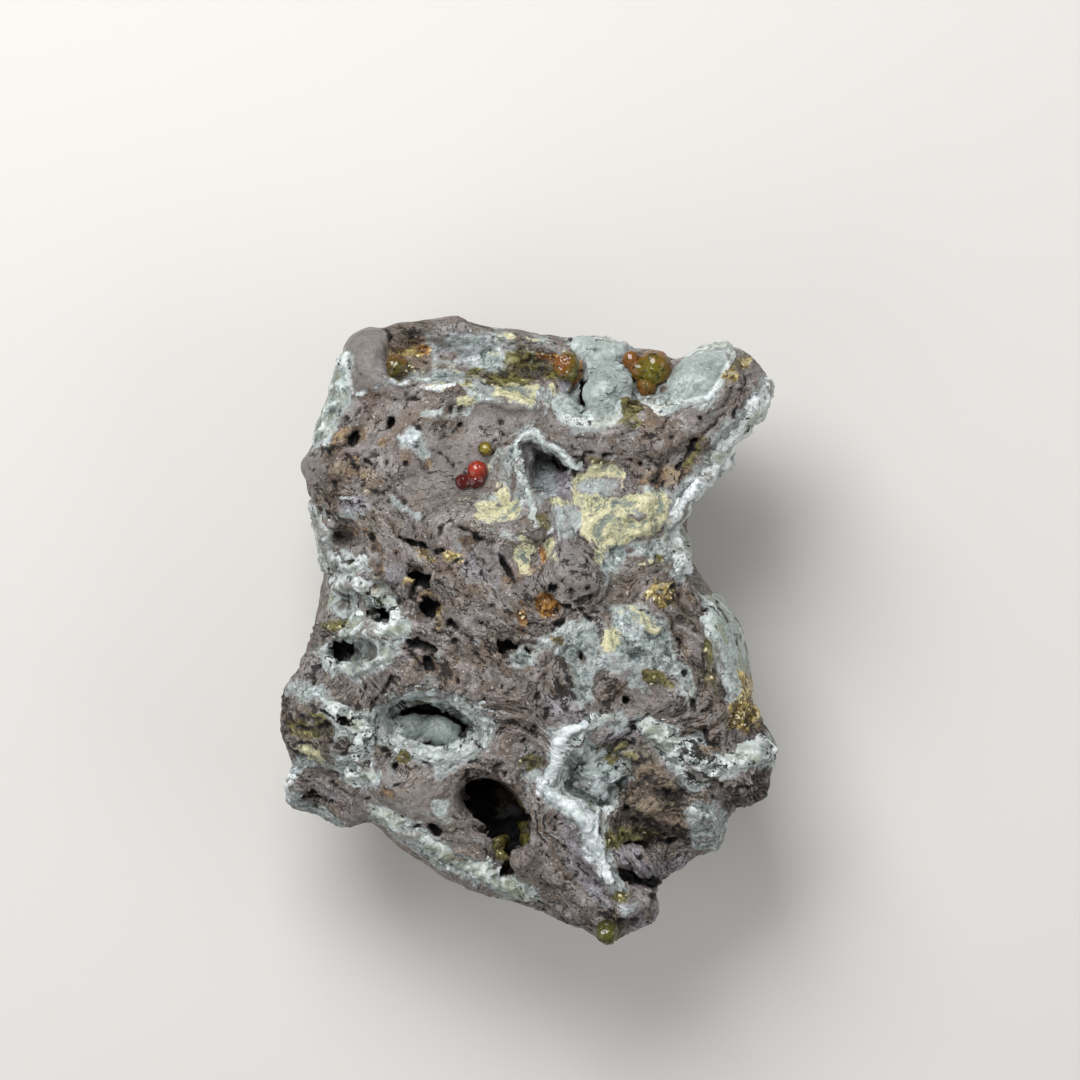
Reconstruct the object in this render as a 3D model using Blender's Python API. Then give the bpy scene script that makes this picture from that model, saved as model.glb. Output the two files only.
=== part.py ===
"""A botryoidal iron-stone specimen, lying on its flat broken back with its face up.

Metres, +Z up, +X across the face, +Y along its length. The origin is the middle of the whole
specimen's box, on the surface that it rests on. Shapes are worked out in millimetres on a face
sheet, whose zero is near the middle of the face, and are turned to metres at the end.
"""
import math

import bmesh
import bpy
import numpy as np
from mathutils import Matrix, Vector, noise
from mathutils.bvhtree import BVHTree

MM = 0.001

# Driving sizes of the stone, in millimetres
THICKNESS = 33.0        # back facet to the top of the face
SIDE_TOP = 23.5         # side points below this stay out of the face's relief
FACE_LOW = 27.5         # points above this take all of it
GAP = 0.32              # clear gap between the matrix and what sits on it
COARSE_VOXEL = 0.85
FINE_VOXEL = 0.64
HEART = (-1.0, 3.0)     # the sides draw in towards this point
BACK_TRIANGLES = 0.08   # share of the back's faces that are kept
MATRIX_TRIANGLES = 6100

# The face's outline, clockwise from the top left corner
OUTLINE = (
    (-24.3, 38.3), (-22.0, 39.9), (-20.4, 40.2), (-19.2, 39.5), (-17.5, 40.4), (-14.0, 40.8),
    (-9.6, 41.4), (-7.8, 40.4), (-4.0, 39.3), (-2.2, 39.6), (2.0, 38.4), (6.0, 37.9),
    (9.3, 38.2), (12.0, 37.3), (14.5, 36.5), (17.3, 36.5), (18.5, 34.5), (20.5, 35.5),
    (23.5, 36.7), (26.6, 37.4), (29.3, 35.4), (31.9, 31.6), (30.6, 28.9), (29.1, 26.2),
    (26.7, 24.7), (26.4, 21.3), (23.4, 19.1), (21.7, 16.6), (19.5, 14.0), (21.5, 11.2),
    (20.6, 7.7), (23.2, 5.0), (26.4, 1.8), (27.6, -2.5), (28.3, -6.5), (29.2, -9.8),
    (30.6, -12.8), (32.2, -15.2), (31.9, -17.3), (30.5, -18.1), (31.3, -20.4), (29.3, -22.2),
    (25.8, -23.5), (25.9, -26.2), (25.0, -28.8), (22.8, -29.2), (20.2, -31.2), (17.4, -32.6),
    (16.4, -35.2), (17.4, -36.8), (15.6, -38.1), (12.8, -39.5), (10.2, -40.9), (7.8, -39.1),
    (5.0, -38.4), (1.5, -36.4), (-2.5, -35.1), (-7.5, -34.0), (-11.1, -32.4), (-13.4, -30.5),
    (-17.3, -27.8), (-20.5, -24.6), (-23.5, -25.9), (-25.4, -25.2), (-28.0, -23.9), (-31.7, -23.1),
    (-32.0, -21.0), (-31.0, -17.6), (-32.2, -14.2), (-32.3, -9.5), (-31.5, -6.4), (-30.1, -6.0),
    (-28.9, -2.4), (-27.2, 0.7), (-25.8, 3.6), (-25.5, 7.3), (-27.3, 10.9), (-29.1, 15.2),
    (-29.2, 19.5), (-30.4, 21.6), (-28.2, 24.7), (-27.0, 28.6), (-25.8, 31.5), (-25.0, 35.2),
)
OUTLINE_STEPS = 3       # points made between each two of the outline

# Rings of the blank: share of the outline's reach, height, and how far the ring is rounded off
RINGS = (
    (0.68, 0.0, 1.0), (0.76, 0.9, 0.95), (0.85, 4.5, 0.9), (0.92, 9.5, 0.75), (0.97, 14.5, 0.4),
    (1.0, 19.5, 0.1), (1.0, 24.5, 0.0), (0.985, 27.0, 0.0), (0.95, 28.8, 0.0),
    (0.86, 30.4, 0.05), (0.62, 31.8, 0.2), (0.35, THICKNESS, 0.5),
)

# Broken facets of the sides and back: compass direction and slope below level, in degrees,
# and distance from the point HEART at FACET_HEIGHT
FACETS = (
    (6, -20, 24.5), (50, -30, 32.5), (97, -16, 33.0), (137, -36, 30.0), (178, -24, 24.0),
    (216, -42, 27.0), (247, -20, 31.5), (286, -30, 34.0), (326, -26, 30.5),
)
FACET_HEIGHT = 14.0
FACET_TOP = 24.5        # the facets fade out at this height, below the face's rim
FACET_FADE = 8.0
FACET_BITE = 0.88       # share of what lies beyond a facet that is broken away

# Broad swells and sags of the face: x, y, half width, half length, height
SWELLS = (
    (-30.0, -22.5, 7.0, 6.0, -3.6),
    (8.0, -35.0, 11.0, 8.0, -1.8),
    (25.0, 31.0, 10.0, 7.0, 0.8),
    (-24.0, 35.0, 6.0, 8.0, -0.6),
    (-8.0, 3.0, 15.0, 13.0, 1.1),
    (-27.0, -1.0, 6.0, 9.0, -1.0),
    (23.5, -26.0, 6.0, 7.0, -1.2),
    (-24.0, -9.0, 8.0, 6.0, 0.8),
)

# Lumps of the face: x, y, half width, half length, turn in degrees, height
LUMPS = (
    (-21.2, 35.6, 2.9, 4.8, 6, 1.8),
    (-24.6, 21.0, 3.6, 3.0, 0, 1.1),
    (-9.5, 27.0, 8.5, 4.6, 4, 0.9),
    (21.9, 33.1, 5.6, 4.2, 28, 2.8),
    (4.9, 34.3, 2.1, 1.9, 0, 1.0),
    (-2.0, 35.6, 2.0, 1.7, 0, 1.6),
    (1.4, 36.2, 1.8, 1.5, 0, 1.5),
    (14.4, 28.3, 3.0, 1.3, -10, 1.2),
    (12.6, 14.4, 6.2, 3.2, 8, 1.5),
    (14.6, 0.2, 4.0, 5.4, -32, 1.8),
    (7.0, 7.2, 3.0, 3.6, 0, 1.2),
    (23.8, -11.6, 3.2, 3.4, 0, 1.4),
    (28.2, -19.6, 3.2, 2.3, 0, 1.8),
    (30.6, -15.4, 1.9, 2.2, 0, 1.3),
    (23.0, -25.4, 3.3, 4.0, 0, 1.4),
    (13.2, -29.2, 1.8, 1.4, 0, 1.0),
    (16.4, -30.4, 2.4, 1.4, 0, 1.2),
    (14.4, -36.2, 2.7, 2.0, 0, 1.3),
    (-1.3, -30.0, 1.9, 2.4, 0, 1.5),
    (2.9, -25.2, 2.6, 2.4, 0, 1.0),
    (-13.5, -21.6, 6.8, 2.8, -12, 1.2),
    (-28.6, -12.4, 3.6, 3.4, 0, 1.0),
    (-24.2, -14.7, 2.2, 2.0, 0, 1.5),
    (-30.6, -20.2, 1.8, 2.8, 0, 1.3),
    (-21.0, 8.8, 3.8, 3.6, 0, 1.0),
    (-6.0, 4.6, 7.0, 8.0, 0, 0.9),
    (-5.4, -8.2, 6.0, 2.6, -30, 1.0),
    (15.0, -21.4, 4.6, 3.4, -20, 0.8),
)

# Ridges and grooves of the face: height, or depth below zero, half width, and the line's points
RIDGES = (
    (2.3, 3.4, ((5.5, 24.0), (11.0, 24.8), (17.0, 25.2), (22.5, 26.6), (26.5, 29.6), (29.0, 32.6))),
    (1.6, 1.8, ((0.9, 13.0), (0.2, 17.0), (-0.9, 20.5), (-2.2, 24.4), (0.2, 26.0), (4.0, 24.0))),
    (1.3, 1.6, ((-17.5, 32.4), (-13.0, 31.7), (-9.0, 31.6), (-4.5, 30.0), (0.0, 29.4))),
    (1.5, 1.4, ((-18.0, 39.6), (-13.0, 40.2), (-8.0, 39.8), (0.0, 38.2), (6.0, 37.4))),
    (1.5, 3.0, ((1.0, -29.5), (4.5, -33.5), (9.5, -37.6))),
    (1.3, 1.6, ((16.5, -12.6), (20.5, -15.2), (25.0, -17.2), (29.0, -16.2))),
    (1.4, 1.6, ((4.2, -12.2), (3.3, -14.6), (3.1, -17.2), (1.7, -19.4), (3.2, -21.9), (6.6, -23.6))),
    (1.3, 1.5, ((6.6, -23.6), (8.3, -27.4), (9.4, -30.4), (11.2, -33.2))),
    (1.1, 1.6, ((20.2, 1.2), (21.6, -3.0), (22.8, -8.0))),
    (-1.2, 0.9, ((18.6, 1.3), (19.3, -1.6), (21.0, -4.6))),
    (-1.4, 0.8, ((7.5, 33.2), (7.0, 31.0), (6.8, 28.4))),
    (-1.0, 0.7, ((-16.8, 12.3), (-14.0, 11.1), (-9.4, 9.8))),
    (-1.3, 0.8, ((-17.9, -5.4), (-18.8, -7.2), (-20.2, -9.2))),
    (-1.3, 1.0, ((-15.6, -1.2), (-12.6, -3.6), (-9.6, -6.0))),
    (-2.0, 1.0, ((12.2, -27.4), (15.5, -27.2), (19.2, -27.2))),
    (-1.8, 0.9, ((11.8, -31.6), (14.4, -32.3), (17.2, -32.6))),
    (-0.9, 0.7, ((-31.0, -12.2), (-28.0, -12.4), (-25.6, -13.0))),
    (-2.4, 1.1, ((-3.0, -27.5), (-3.0, -29.5), (-2.8, -31.6))),
    (-1.1, 0.8, ((19.0, 21.4), (20.6, 23.2), (21.8, 25.0))),
    (-1.0, 0.7, ((6.0, 25.5), (8.8, 25.0), (12.2, 23.2), (14.6, 21.8))),
)

# Hollows of the face: x, y, half width, half length, turn in degrees, depth
HOLLOWS = (
    (-12.6, 35.2, 6.4, 3.0, -5, 2.8),
    (-1.5, 35.0, 7.2, 2.9, -4, 2.4),
    (8.6, 34.6, 4.2, 2.6, -8, 1.3),
    (15.3, 33.0, 3.3, 3.4, 0, 2.2),
    (2.3, 21.0, 2.4, 3.5, -26, 4.5),
    (-23.8, 12.0, 1.9, 1.5, 0, 2.4),
    (-14.0, 7.3, 1.7, 1.1, 0, 2.6),
    (-13.0, 3.2, 1.3, 1.8, 0, 3.0),
    (-3.0, -1.7, 1.4, 1.3, 0, 2.4),
    (2.6, 3.7, 2.1, 2.1, 0, 1.8),
    (0.2, -2.4, 1.3, 0.9, 0, 1.2),
    (-20.6, 3.3, 4.6, 2.9, 20, 2.4),
    (-19.3, 2.4, 1.3, 1.2, 0, 2.2),
    (-23.6, -2.3, 2.7, 1.7, 18, 3.6),
    (-12.5, -12.3, 7.4, 4.3, -9, 7.0),
    (8.3, -19.0, 5.0, 4.4, -14, 4.6),
    (0.3, -18.8, 1.8, 2.2, 0, 1.8),
    (-5.1, -22.0, 4.2, 3.1, -24, 10.0),
    (-1.9, -25.2, 2.0, 3.3, 10, 8.0),
    (12.5, -8.6, 1.0, 1.0, 0, 1.4),
    (6.7, -3.3, 0.9, 1.1, 0, 1.2),
    (-22.6, 25.0, 1.0, 0.9, 0, 1.6),
    (-17.8, 27.0, 0.8, 1.1, 0, 1.5),
    (-9.4, 26.4, 0.9, 0.9, 0, 1.4),
    (-28.6, 14.0, 1.0, 1.6, 0, 0.8),
    (-12.2, -25.6, 1.4, 0.8, 0, 1.8),
    (-27.6, -21.4, 2.2, 1.6, -12, 1.8),
)

# Caves that reach in under their rims: x, y, height of the middle, half sizes, turn in degrees
CAVES = (
    ((2.2, 22.6, 28.2), (2.6, 2.2, 1.9), -30),
    ((-5.6, -21.3, 23.4), (4.6, 3.0, 3.6), -24),
    ((-12.6, -10.6, 26.2), (7.2, 3.6, 2.1), -9),
    ((-24.4, -2.0, 25.6), (2.6, 1.7, 1.4), 18),
    ((-19.6, 2.0, 27.2), (1.5, 1.3, 1.4), 0),
)

# Beads that stand on the matrix: ball lists of x, y, radius across, radius up
BEADS = {
    "amber_beads": ((16.3, 34.4, 2.2, 2.0), (13.2, 35.4, 1.1, 1.0), (15.3, 31.9, 1.3, 1.2),
                    (14.3, 34.0, 1.3, 1.2)),
    "amber_drop": ((4.9, 34.3, 1.7, 1.3),),
    "olive_bead": ((-17.2, 34.6, 1.4, 1.2),),
    "red_beads": ((-6.6, 20.9, 1.25, 1.1), (-6.8, 19.7, 1.1, 0.9), (-8.5, 19.5, 1.0, 0.9)),
    "yellow_bead": ((-5.6, 23.8, 0.85, 0.7),),
    "tip_bead": ((10.0, -38.9, 1.4, 1.2),),
}
BEAD_MARGIN = 1.6       # crusts stay this far from a bead
BEAD_FOOT_DEPTH = 9.0   # the block that trims the beads' feet reaches this far all round

# Crusts: bands along lines (half width, points), discs (x, y, half width, half length, turn),
# balls raised on the crust (x, y, radius, height), how steep the faces are that it covers (the
# rise of their normal) and the crust's own thickness
CRUSTS = {
    "upper_crust": {
        "bands": ((1.9, ((3.0, 37.6), (6.5, 36.4), (9.5, 36.2), (13.0, 36.3))),
                  (1.1, ((2.0, 29.6), (4.5, 28.6), (7.0, 26.9), (10.5, 27.2))),
                  (1.6, ((17.4, 35.4), (18.8, 33.4), (18.4, 31.4)))),
        "discs": ((10.8, 30.6, 3.4, 3.1, 0), (9.2, 34.3, 3.2, 2.4, 0), (4.7, 29.4, 1.9, 2.6, 0),
                  (22.0, 33.1, 4.9, 3.4, 28)),
        "balls": ((10.8, 30.6, 3.3, 2.2), (4.7, 29.5, 1.9, 1.0), (21.8, 33.2, 4.6, 1.2)),
        "steepest": 0.35, "thickness": 0.9, "colour": (0.34, 0.40, 0.38)},
    "arch_crust": {
        "bands": ((1.0, ((0.9, 13.6), (0.3, 16.6), (-0.8, 20.0), (-1.9, 24.2), (0.2, 25.8),
                         (3.4, 23.9), (6.0, 21.6))),),
        "discs": ((1.8, 19.4, 1.4, 1.6, 0),), "balls": (),
        "steepest": 0.25, "thickness": 0.8, "colour": (0.50, 0.54, 0.52)},
    "arm_edge_crust": {
        "bands": ((1.7, ((29.8, 29.6), (27.4, 27.2), (25.2, 23.0), (22.8, 20.4), (20.2, 17.3),
                         (18.2, 14.2), (19.8, 11.0), (19.2, 8.2))),),
        "discs": (), "balls": (),
        "steepest": 0.30, "thickness": 0.9, "colour": (0.48, 0.54, 0.56)},
    "left_edge_crust": {
        "bands": ((1.2, ((-24.2, 37.2), (-23.9, 34.0), (-24.6, 30.4), (-26.0, 26.2))),),
        "discs": (), "balls": (),
        "steepest": 0.30, "thickness": 0.8, "colour": (0.42, 0.47, 0.48)},
    "left_pocket_crust": {
        "bands": ((1.7, ((-26.6, -3.0), (-23.2, -4.9), (-19.6, -3.6), (-17.6, -1.4))),),
        "discs": ((-20.8, 3.4, 5.6, 3.8, 18),), "balls": (),
        "steepest": 0.40, "thickness": 0.8, "colour": (0.40, 0.46, 0.46)},
    "oval_pocket_crust": {
        "bands": (),
        "discs": ((-12.5, -12.3, 8.4, 5.3, -9),),
        "balls": ((-11.4, -12.8, 2.7, 2.6), (-16.0, -12.4, 2.2, 1.9)),
        "steepest": 0.05, "thickness": 0.8, "colour": (0.46, 0.52, 0.50)},
    "lower_left_crust": {
        "bands": ((1.8, ((-26.4, -10.4), (-23.4, -11.4), (-21.3, -13.6), (-21.8, -18.0))),),
        "discs": (), "balls": (),
        "steepest": 0.35, "thickness": 0.9, "colour": (0.50, 0.54, 0.48)},
    "white_pocket_crust": {
        "bands": ((1.5, ((5.0, -12.0), (3.4, -14.4), (3.2, -17.2), (1.8, -19.4), (3.3, -21.8),
                         (6.4, -23.3), (8.2, -26.4), (9.3, -29.6), (10.9, -32.4))),
                  (1.2, ((5.6, -14.4), (8.6, -12.6), (11.6, -11.6)))),
        "discs": ((8.4, -19.0, 5.6, 5.0, -14),), "balls": (),
        "steepest": 0.15, "thickness": 0.9, "colour": (0.66, 0.70, 0.72)},
    "right_flank_crust": {
        "bands": ((2.2, ((24.2, 1.4), (25.6, -2.4), (26.2, -6.4))),),
        "discs": (), "balls": (),
        "steepest": 0.30, "thickness": 0.8, "colour": (0.44, 0.50, 0.49)},
    "lower_right_crust": {
        "bands": ((1.5, ((16.4, -12.8), (20.4, -15.3), (25.0, -17.2), (29.4, -15.9))),),
        "discs": (), "balls": (),
        "steepest": 0.25, "thickness": 0.9, "colour": (0.44, 0.48, 0.50)},
    "bottom_crust": {
        "bands": ((1.3, ((-18.4, -24.2), (-14.0, -27.2), (-10.0, -30.0), (-6.4, -31.0))),),
        "discs": (), "balls": (),
        "steepest": 0.30, "thickness": 0.8, "colour": (0.48, 0.52, 0.55)},
}
EDGE_SHARE = 0.35       # how thick a crust still is at its edge
CRUST_BUMPS = 0.55      # how far the crust's knobs rise and fall, in millimetres

BEAD_COLOURS = {
    "amber_beads": (0.23, 0.12, 0.02), "amber_drop": (0.25, 0.09, 0.01),
    "olive_bead": (0.17, 0.13, 0.02), "red_beads": (0.40, 0.03, 0.02),
    "yellow_bead": (0.38, 0.28, 0.03), "tip_bead": (0.20, 0.18, 0.05),
}
MATRIX_COLOUR = (0.20, 0.16, 0.14)


def material(name, colour, roughness):
    """A plain Principled finish."""
    finish = bpy.data.materials.new(name)
    finish.use_nodes = True
    shader = finish.node_tree.nodes["Principled BSDF"]
    shader.inputs["Base Color"].default_value = (*colour, 1.0)
    shader.inputs["Roughness"].default_value = roughness
    shader.inputs["Metallic"].default_value = 0.0
    return finish


def add_object(name, mesh, finish):
    """Put a mesh in the scene under its node's name."""
    mesh.materials.clear()
    mesh.materials.append(finish)
    piece = bpy.data.objects.new(name, mesh)
    bpy.context.scene.collection.objects.link(piece)
    return piece


def with_modifier(mesh, kind, **settings):
    """The mesh as one modifier leaves it."""
    holder = bpy.data.objects.new("holder", mesh)
    bpy.context.scene.collection.objects.link(holder)
    step = holder.modifiers.new("step", kind)
    for setting, value in settings.items():
        setattr(step, setting, value)
    view = bpy.context.evaluated_depsgraph_get()
    result = bpy.data.meshes.new_from_object(holder.evaluated_get(view))
    bpy.data.objects.remove(holder)
    return result


def points_of(mesh):
    """The mesh's points as an array."""
    flat = np.empty(len(mesh.vertices) * 3)
    mesh.vertices.foreach_get("co", flat)
    return flat.reshape(-1, 3)


def set_points(mesh, points):
    """Write an array of points back to the mesh."""
    mesh.vertices.foreach_set("co", points.ravel())
    mesh.update()


def normals_of(mesh):
    """The mesh's point normals as an array."""
    flat = np.empty(len(mesh.vertices) * 3)
    mesh.vertex_normals.foreach_get("vector", flat)
    return flat.reshape(-1, 3)


def smooth_step(value):
    """A soft ramp from 0 to 1."""
    t = np.clip(value, 0.0, 1.0)
    return t * t * (3.0 - 2.0 * t)


def curve_through(points, steps, closed):
    """Points on a Catmull-Rom curve through the given ones."""
    count = len(points)
    spans = count if closed else count - 1
    result = []
    for index in range(spans):
        around = []
        for shift in (-1, 0, 1, 2):
            place = index + shift
            place = place % count if closed else min(max(place, 0), count - 1)
            around.append(np.array(points[place], dtype=float))
        a, b, c, d = around
        for part in range(steps):
            t = part / steps
            result.append(0.5 * (2 * b + (c - a) * t + (2 * a - 5 * b + 4 * c - d) * t * t
                                 + (3 * b - a - 3 * c + d) * t ** 3))
    if not closed:
        result.append(np.array(points[-1], dtype=float))
    return np.array(result)


def ellipse_reach(x, y, centre, half, turn):
    """How far out each point is, as a share of the way to a turned ellipse's edge."""
    angle = math.radians(turn)
    dx, dy = x - centre[0], y - centre[1]
    along = dx * math.cos(angle) + dy * math.sin(angle)
    across = -dx * math.sin(angle) + dy * math.cos(angle)
    return np.hypot(along / half[0], across / half[1])


def line_distance(x, y, line):
    """Distance from each point to a line of straight runs."""
    best = np.full(np.shape(x), 1e9)
    for (x0, y0), (x1, y1) in zip(line[:-1], line[1:]):
        dx, dy = x1 - x0, y1 - y0
        share = np.clip(((x - x0) * dx + (y - y0) * dy) / (dx * dx + dy * dy), 0.0, 1.0)
        best = np.minimum(best, np.hypot(x - x0 - share * dx, y - y0 - share * dy))
    return best


def noise_at(points, scale, stretch=(1.0, 1.0, 1.0), octaves=2):
    """Smooth noise of about -1 to 1 with the given grain size, in millimetres."""
    result = np.empty(len(points))
    for index, (x, y, z) in enumerate(points):
        place = Vector((x * stretch[0] / scale, y * stretch[1] / scale, z * stretch[2] / scale))
        result[index] = noise.fractal(place, 1.0, 2.0, octaves)
    return result


def blank_stone():
    """The closed blank: rings of the outline from the flat back up to the middle of the face."""
    outline = curve_through(OUTLINE, OUTLINE_STEPS, closed=True)
    heart = np.array(HEART)
    arms = outline - heart
    reach = np.hypot(arms[:, 0], arms[:, 1])
    window = len(reach) // 5
    padded = np.concatenate((reach[-window:], reach, reach[:window]))
    even = np.convolve(padded, np.ones(2 * window + 1) / (2 * window + 1), mode="valid")
    round_arms = arms * (even / reach)[:, None]

    shape = bmesh.new()
    rings = []
    for share, height, rounding in RINGS:
        spots = heart + share * ((1.0 - rounding) * arms + rounding * round_arms)
        rings.append([shape.verts.new((x, y, height)) for x, y in spots])
    count = len(outline)
    for lower, upper in zip(rings[:-1], rings[1:]):
        for i in range(count):
            j = (i + 1) % count
            shape.faces.new((lower[i], lower[j], upper[j], upper[i]))
    shape.faces.new(rings[0])
    shape.faces.new(rings[-1])
    bmesh.ops.recalc_face_normals(shape, faces=shape.faces)
    bmesh.ops.triangulate(shape, faces=[f for f in shape.faces if len(f.verts) > 4])
    mesh = bpy.data.meshes.new("blank")
    shape.to_mesh(mesh)
    shape.free()
    return mesh


def face_relief(x, y):
    """Height that the lumps, ridges and hollows add to the face."""
    rise = np.zeros(len(x))
    for cx, cy, half_x, half_y, height in SWELLS:
        reach = ellipse_reach(x, y, (cx, cy), (half_x, half_y), 0.0)
        rise += height * np.exp(-reach * reach)
    for cx, cy, half_x, half_y, turn, height in LUMPS:
        reach = ellipse_reach(x, y, (cx, cy), (half_x, half_y), turn)
        rise += height * np.sqrt(np.clip(1.0 - (reach / 1.12) ** 2, 0.0, 1.0))
    for height, half_width, line in RIDGES:
        away = line_distance(x, y, line) / half_width
        rise += height * smooth_step((1.25 - away) / 0.9)
    for cx, cy, half_x, half_y, turn, depth in HOLLOWS:
        reach = ellipse_reach(x, y, (cx, cy), (half_x, half_y), turn)
        rise -= depth * smooth_step((1.12 - reach) / 0.34)
    return rise


def roughen_sides(mesh):
    """Break the sides up into lumps and low ledges, more so where the photo doesn't see them."""
    points = points_of(mesh)
    normals = normals_of(mesh)
    height = points[:, 2]
    near_rim = smooth_step((height - 13.0) / 6.0)
    near_back = smooth_step(height / 3.0)
    amount = near_back * (1.0 - 0.72 * near_rim)
    amount = np.where(height > SIDE_TOP + 3.0, 0.25 * near_back, amount)
    lumps = noise_at(points, 9.0)
    ledges = noise_at(points, 5.0, stretch=(0.35, 0.35, 1.5))
    grain = noise_at(points, 2.6)
    points += normals * (amount * (2.0 * lumps + 1.7 * ledges + 0.6 * grain))[:, None]
    below_face = smooth_step((FACET_TOP - points[:, 2]) / FACET_FADE)
    for compass, slope, distance in FACETS:
        turn, tip = math.radians(compass), math.radians(slope)
        outward = np.array((math.cos(turn) * math.cos(tip), math.sin(turn) * math.cos(tip),
                            math.sin(tip)))
        beyond = (points - np.array((*HEART, FACET_HEIGHT))) @ outward - distance
        broken = FACET_BITE * np.maximum(beyond + 0.5 * ledges, 0.0) * below_face
        points -= broken[:, None] * outward
    points[:, 2] = np.where(height < 0.05, 0.0, np.maximum(points[:, 2], 0.0))
    set_points(mesh, points)


def shape_face(mesh):
    """Raise and sink the face by its relief, with a little grain."""
    points = points_of(mesh)
    on_face = smooth_step((points[:, 2] - SIDE_TOP) / (FACE_LOW - SIDE_TOP))
    grain = 0.3 * noise_at(points, 2.2) + 0.45 * noise_at(points, 6.0)
    points[:, 2] += on_face * (face_relief(points[:, 0], points[:, 1]) + grain)
    set_points(mesh, points)


def combine(mesh, tool, operation):
    """Two closed meshes joined, or the second one taken from the first."""
    other = bpy.data.objects.new("other", tool)
    bpy.context.scene.collection.objects.link(other)
    result = with_modifier(mesh, "BOOLEAN", operation=operation, solver="EXACT", object=other)
    bpy.data.objects.remove(other)
    return result


def cave_cutter(middle, half, turn):
    """A lumpy ball that hollows out a cave under its rim."""
    shape = bmesh.new()
    bmesh.ops.create_icosphere(shape, subdivisions=3, radius=1.0)
    place = (Matrix.Translation(middle) @ Matrix.Rotation(math.radians(turn), 4, "Z")
             @ Matrix.Diagonal((*half, 1.0)))
    bmesh.ops.transform(shape, matrix=place, verts=shape.verts)
    mesh = bpy.data.meshes.new("cave")
    shape.to_mesh(mesh)
    shape.free()
    return mesh


def cut_caves(mesh):
    """Take the caves out of the stone one by one."""
    for middle, half, turn in CAVES:
        mesh = combine(mesh, cave_cutter(middle, half, turn), "DIFFERENCE")
    return mesh


def thin_back(mesh):
    """Thin out the triangles of the sides and the back, and leave the face's as they are."""
    holder = bpy.data.objects.new("holder", mesh)
    bpy.context.scene.collection.objects.link(holder)
    group = holder.vertex_groups.new(name="back")
    points = points_of(mesh)
    back = [int(i) for i in np.flatnonzero(points[:, 2] < SIDE_TOP - 3.0)]
    group.add(back, 1.0, "REPLACE")
    share_kept = 1.0 - (1.0 - BACK_TRIANGLES) * len(back) / len(points)
    step = holder.modifiers.new("thin", "DECIMATE")
    step.ratio = share_kept
    step.vertex_group = group.name
    step.use_collapse_triangulate = True
    view = bpy.context.evaluated_depsgraph_get()
    result = bpy.data.meshes.new_from_object(holder.evaluated_get(view))
    bpy.data.objects.remove(holder)
    return result


def largest_body(mesh):
    """The mesh without any crumb that a cut has parted from it."""
    shape = bmesh.new()
    shape.from_mesh(mesh)
    left = set(shape.verts)
    bodies = []
    while left:
        front = [left.pop()]
        body = set(front)
        while front:
            vert = front.pop()
            for edge in vert.link_edges:
                other = edge.other_vert(vert)
                if other in left:
                    left.discard(other)
                    body.add(other)
                    front.append(other)
        bodies.append(body)
    bodies.sort(key=len, reverse=True)
    for crumb in bodies[1:]:
        bmesh.ops.delete(shape, geom=list(crumb), context="VERTS")
    shape.to_mesh(mesh)
    shape.free()
    return mesh


def make_matrix():
    """The stone itself, with a truly flat back."""
    mesh = with_modifier(blank_stone(), "REMESH", mode="VOXEL", voxel_size=COARSE_VOXEL)
    roughen_sides(mesh)
    shape_face(mesh)
    mesh = cut_caves(mesh)
    mesh = with_modifier(mesh, "REMESH", mode="VOXEL", voxel_size=FINE_VOXEL)
    mesh = largest_body(mesh)
    points = points_of(mesh)
    points[:, 2] -= points[:, 2].min()
    flat_back = points[:, 2] < 0.5
    points[flat_back, 2] = 0.0
    set_points(mesh, points)
    mesh = with_modifier(mesh, "TRIANGULATE")
    mesh = thin_back(mesh)
    mesh = with_modifier(mesh, "DECIMATE", ratio=MATRIX_TRIANGLES / len(mesh.polygons),
                         use_collapse_triangulate=True)
    return mesh


def in_crust(crust, x, y):
    """Whether points of the face lie in the crust's bands or discs, clear of all beads."""
    inside = np.zeros(len(x), dtype=bool)
    for half_width, line in crust["bands"]:
        inside |= line_distance(x, y, line) < half_width
    for cx, cy, half_x, half_y, turn in crust["discs"]:
        inside |= ellipse_reach(x, y, (cx, cy), (half_x, half_y), turn) < 1.0
    for balls in BEADS.values():
        for bx, by, radius, _ in balls:
            inside &= np.hypot(x - bx, y - by) > radius + BEAD_MARGIN
    return inside


def largest_patch(shape):
    """Keep only the largest patch of faces that hang together by their edges."""
    left = set(shape.faces)
    patches = []
    while left:
        front = [left.pop()]
        patch = set(front)
        while front:
            face = front.pop()
            for edge in face.edges:
                for other in edge.link_faces:
                    if other in left:
                        left.discard(other)
                        patch.add(other)
                        front.append(other)
        patches.append(patch)
    patches.sort(key=len, reverse=True)
    spare = [face for patch in patches[1:] for face in patch]
    bmesh.ops.delete(shape, geom=spare, context="FACES")


def drop_pinches(shape):
    """Take off faces that meet the rest of the patch at a point alone."""
    while True:
        pinched = [v for v in shape.verts if sum(1 for e in v.link_edges if e.is_boundary) > 2]
        if not pinched:
            return
        spare = {face for vert in pinched for face in vert.link_faces}
        bmesh.ops.delete(shape, geom=list(spare), context="FACES")
        largest_patch(shape)


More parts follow.
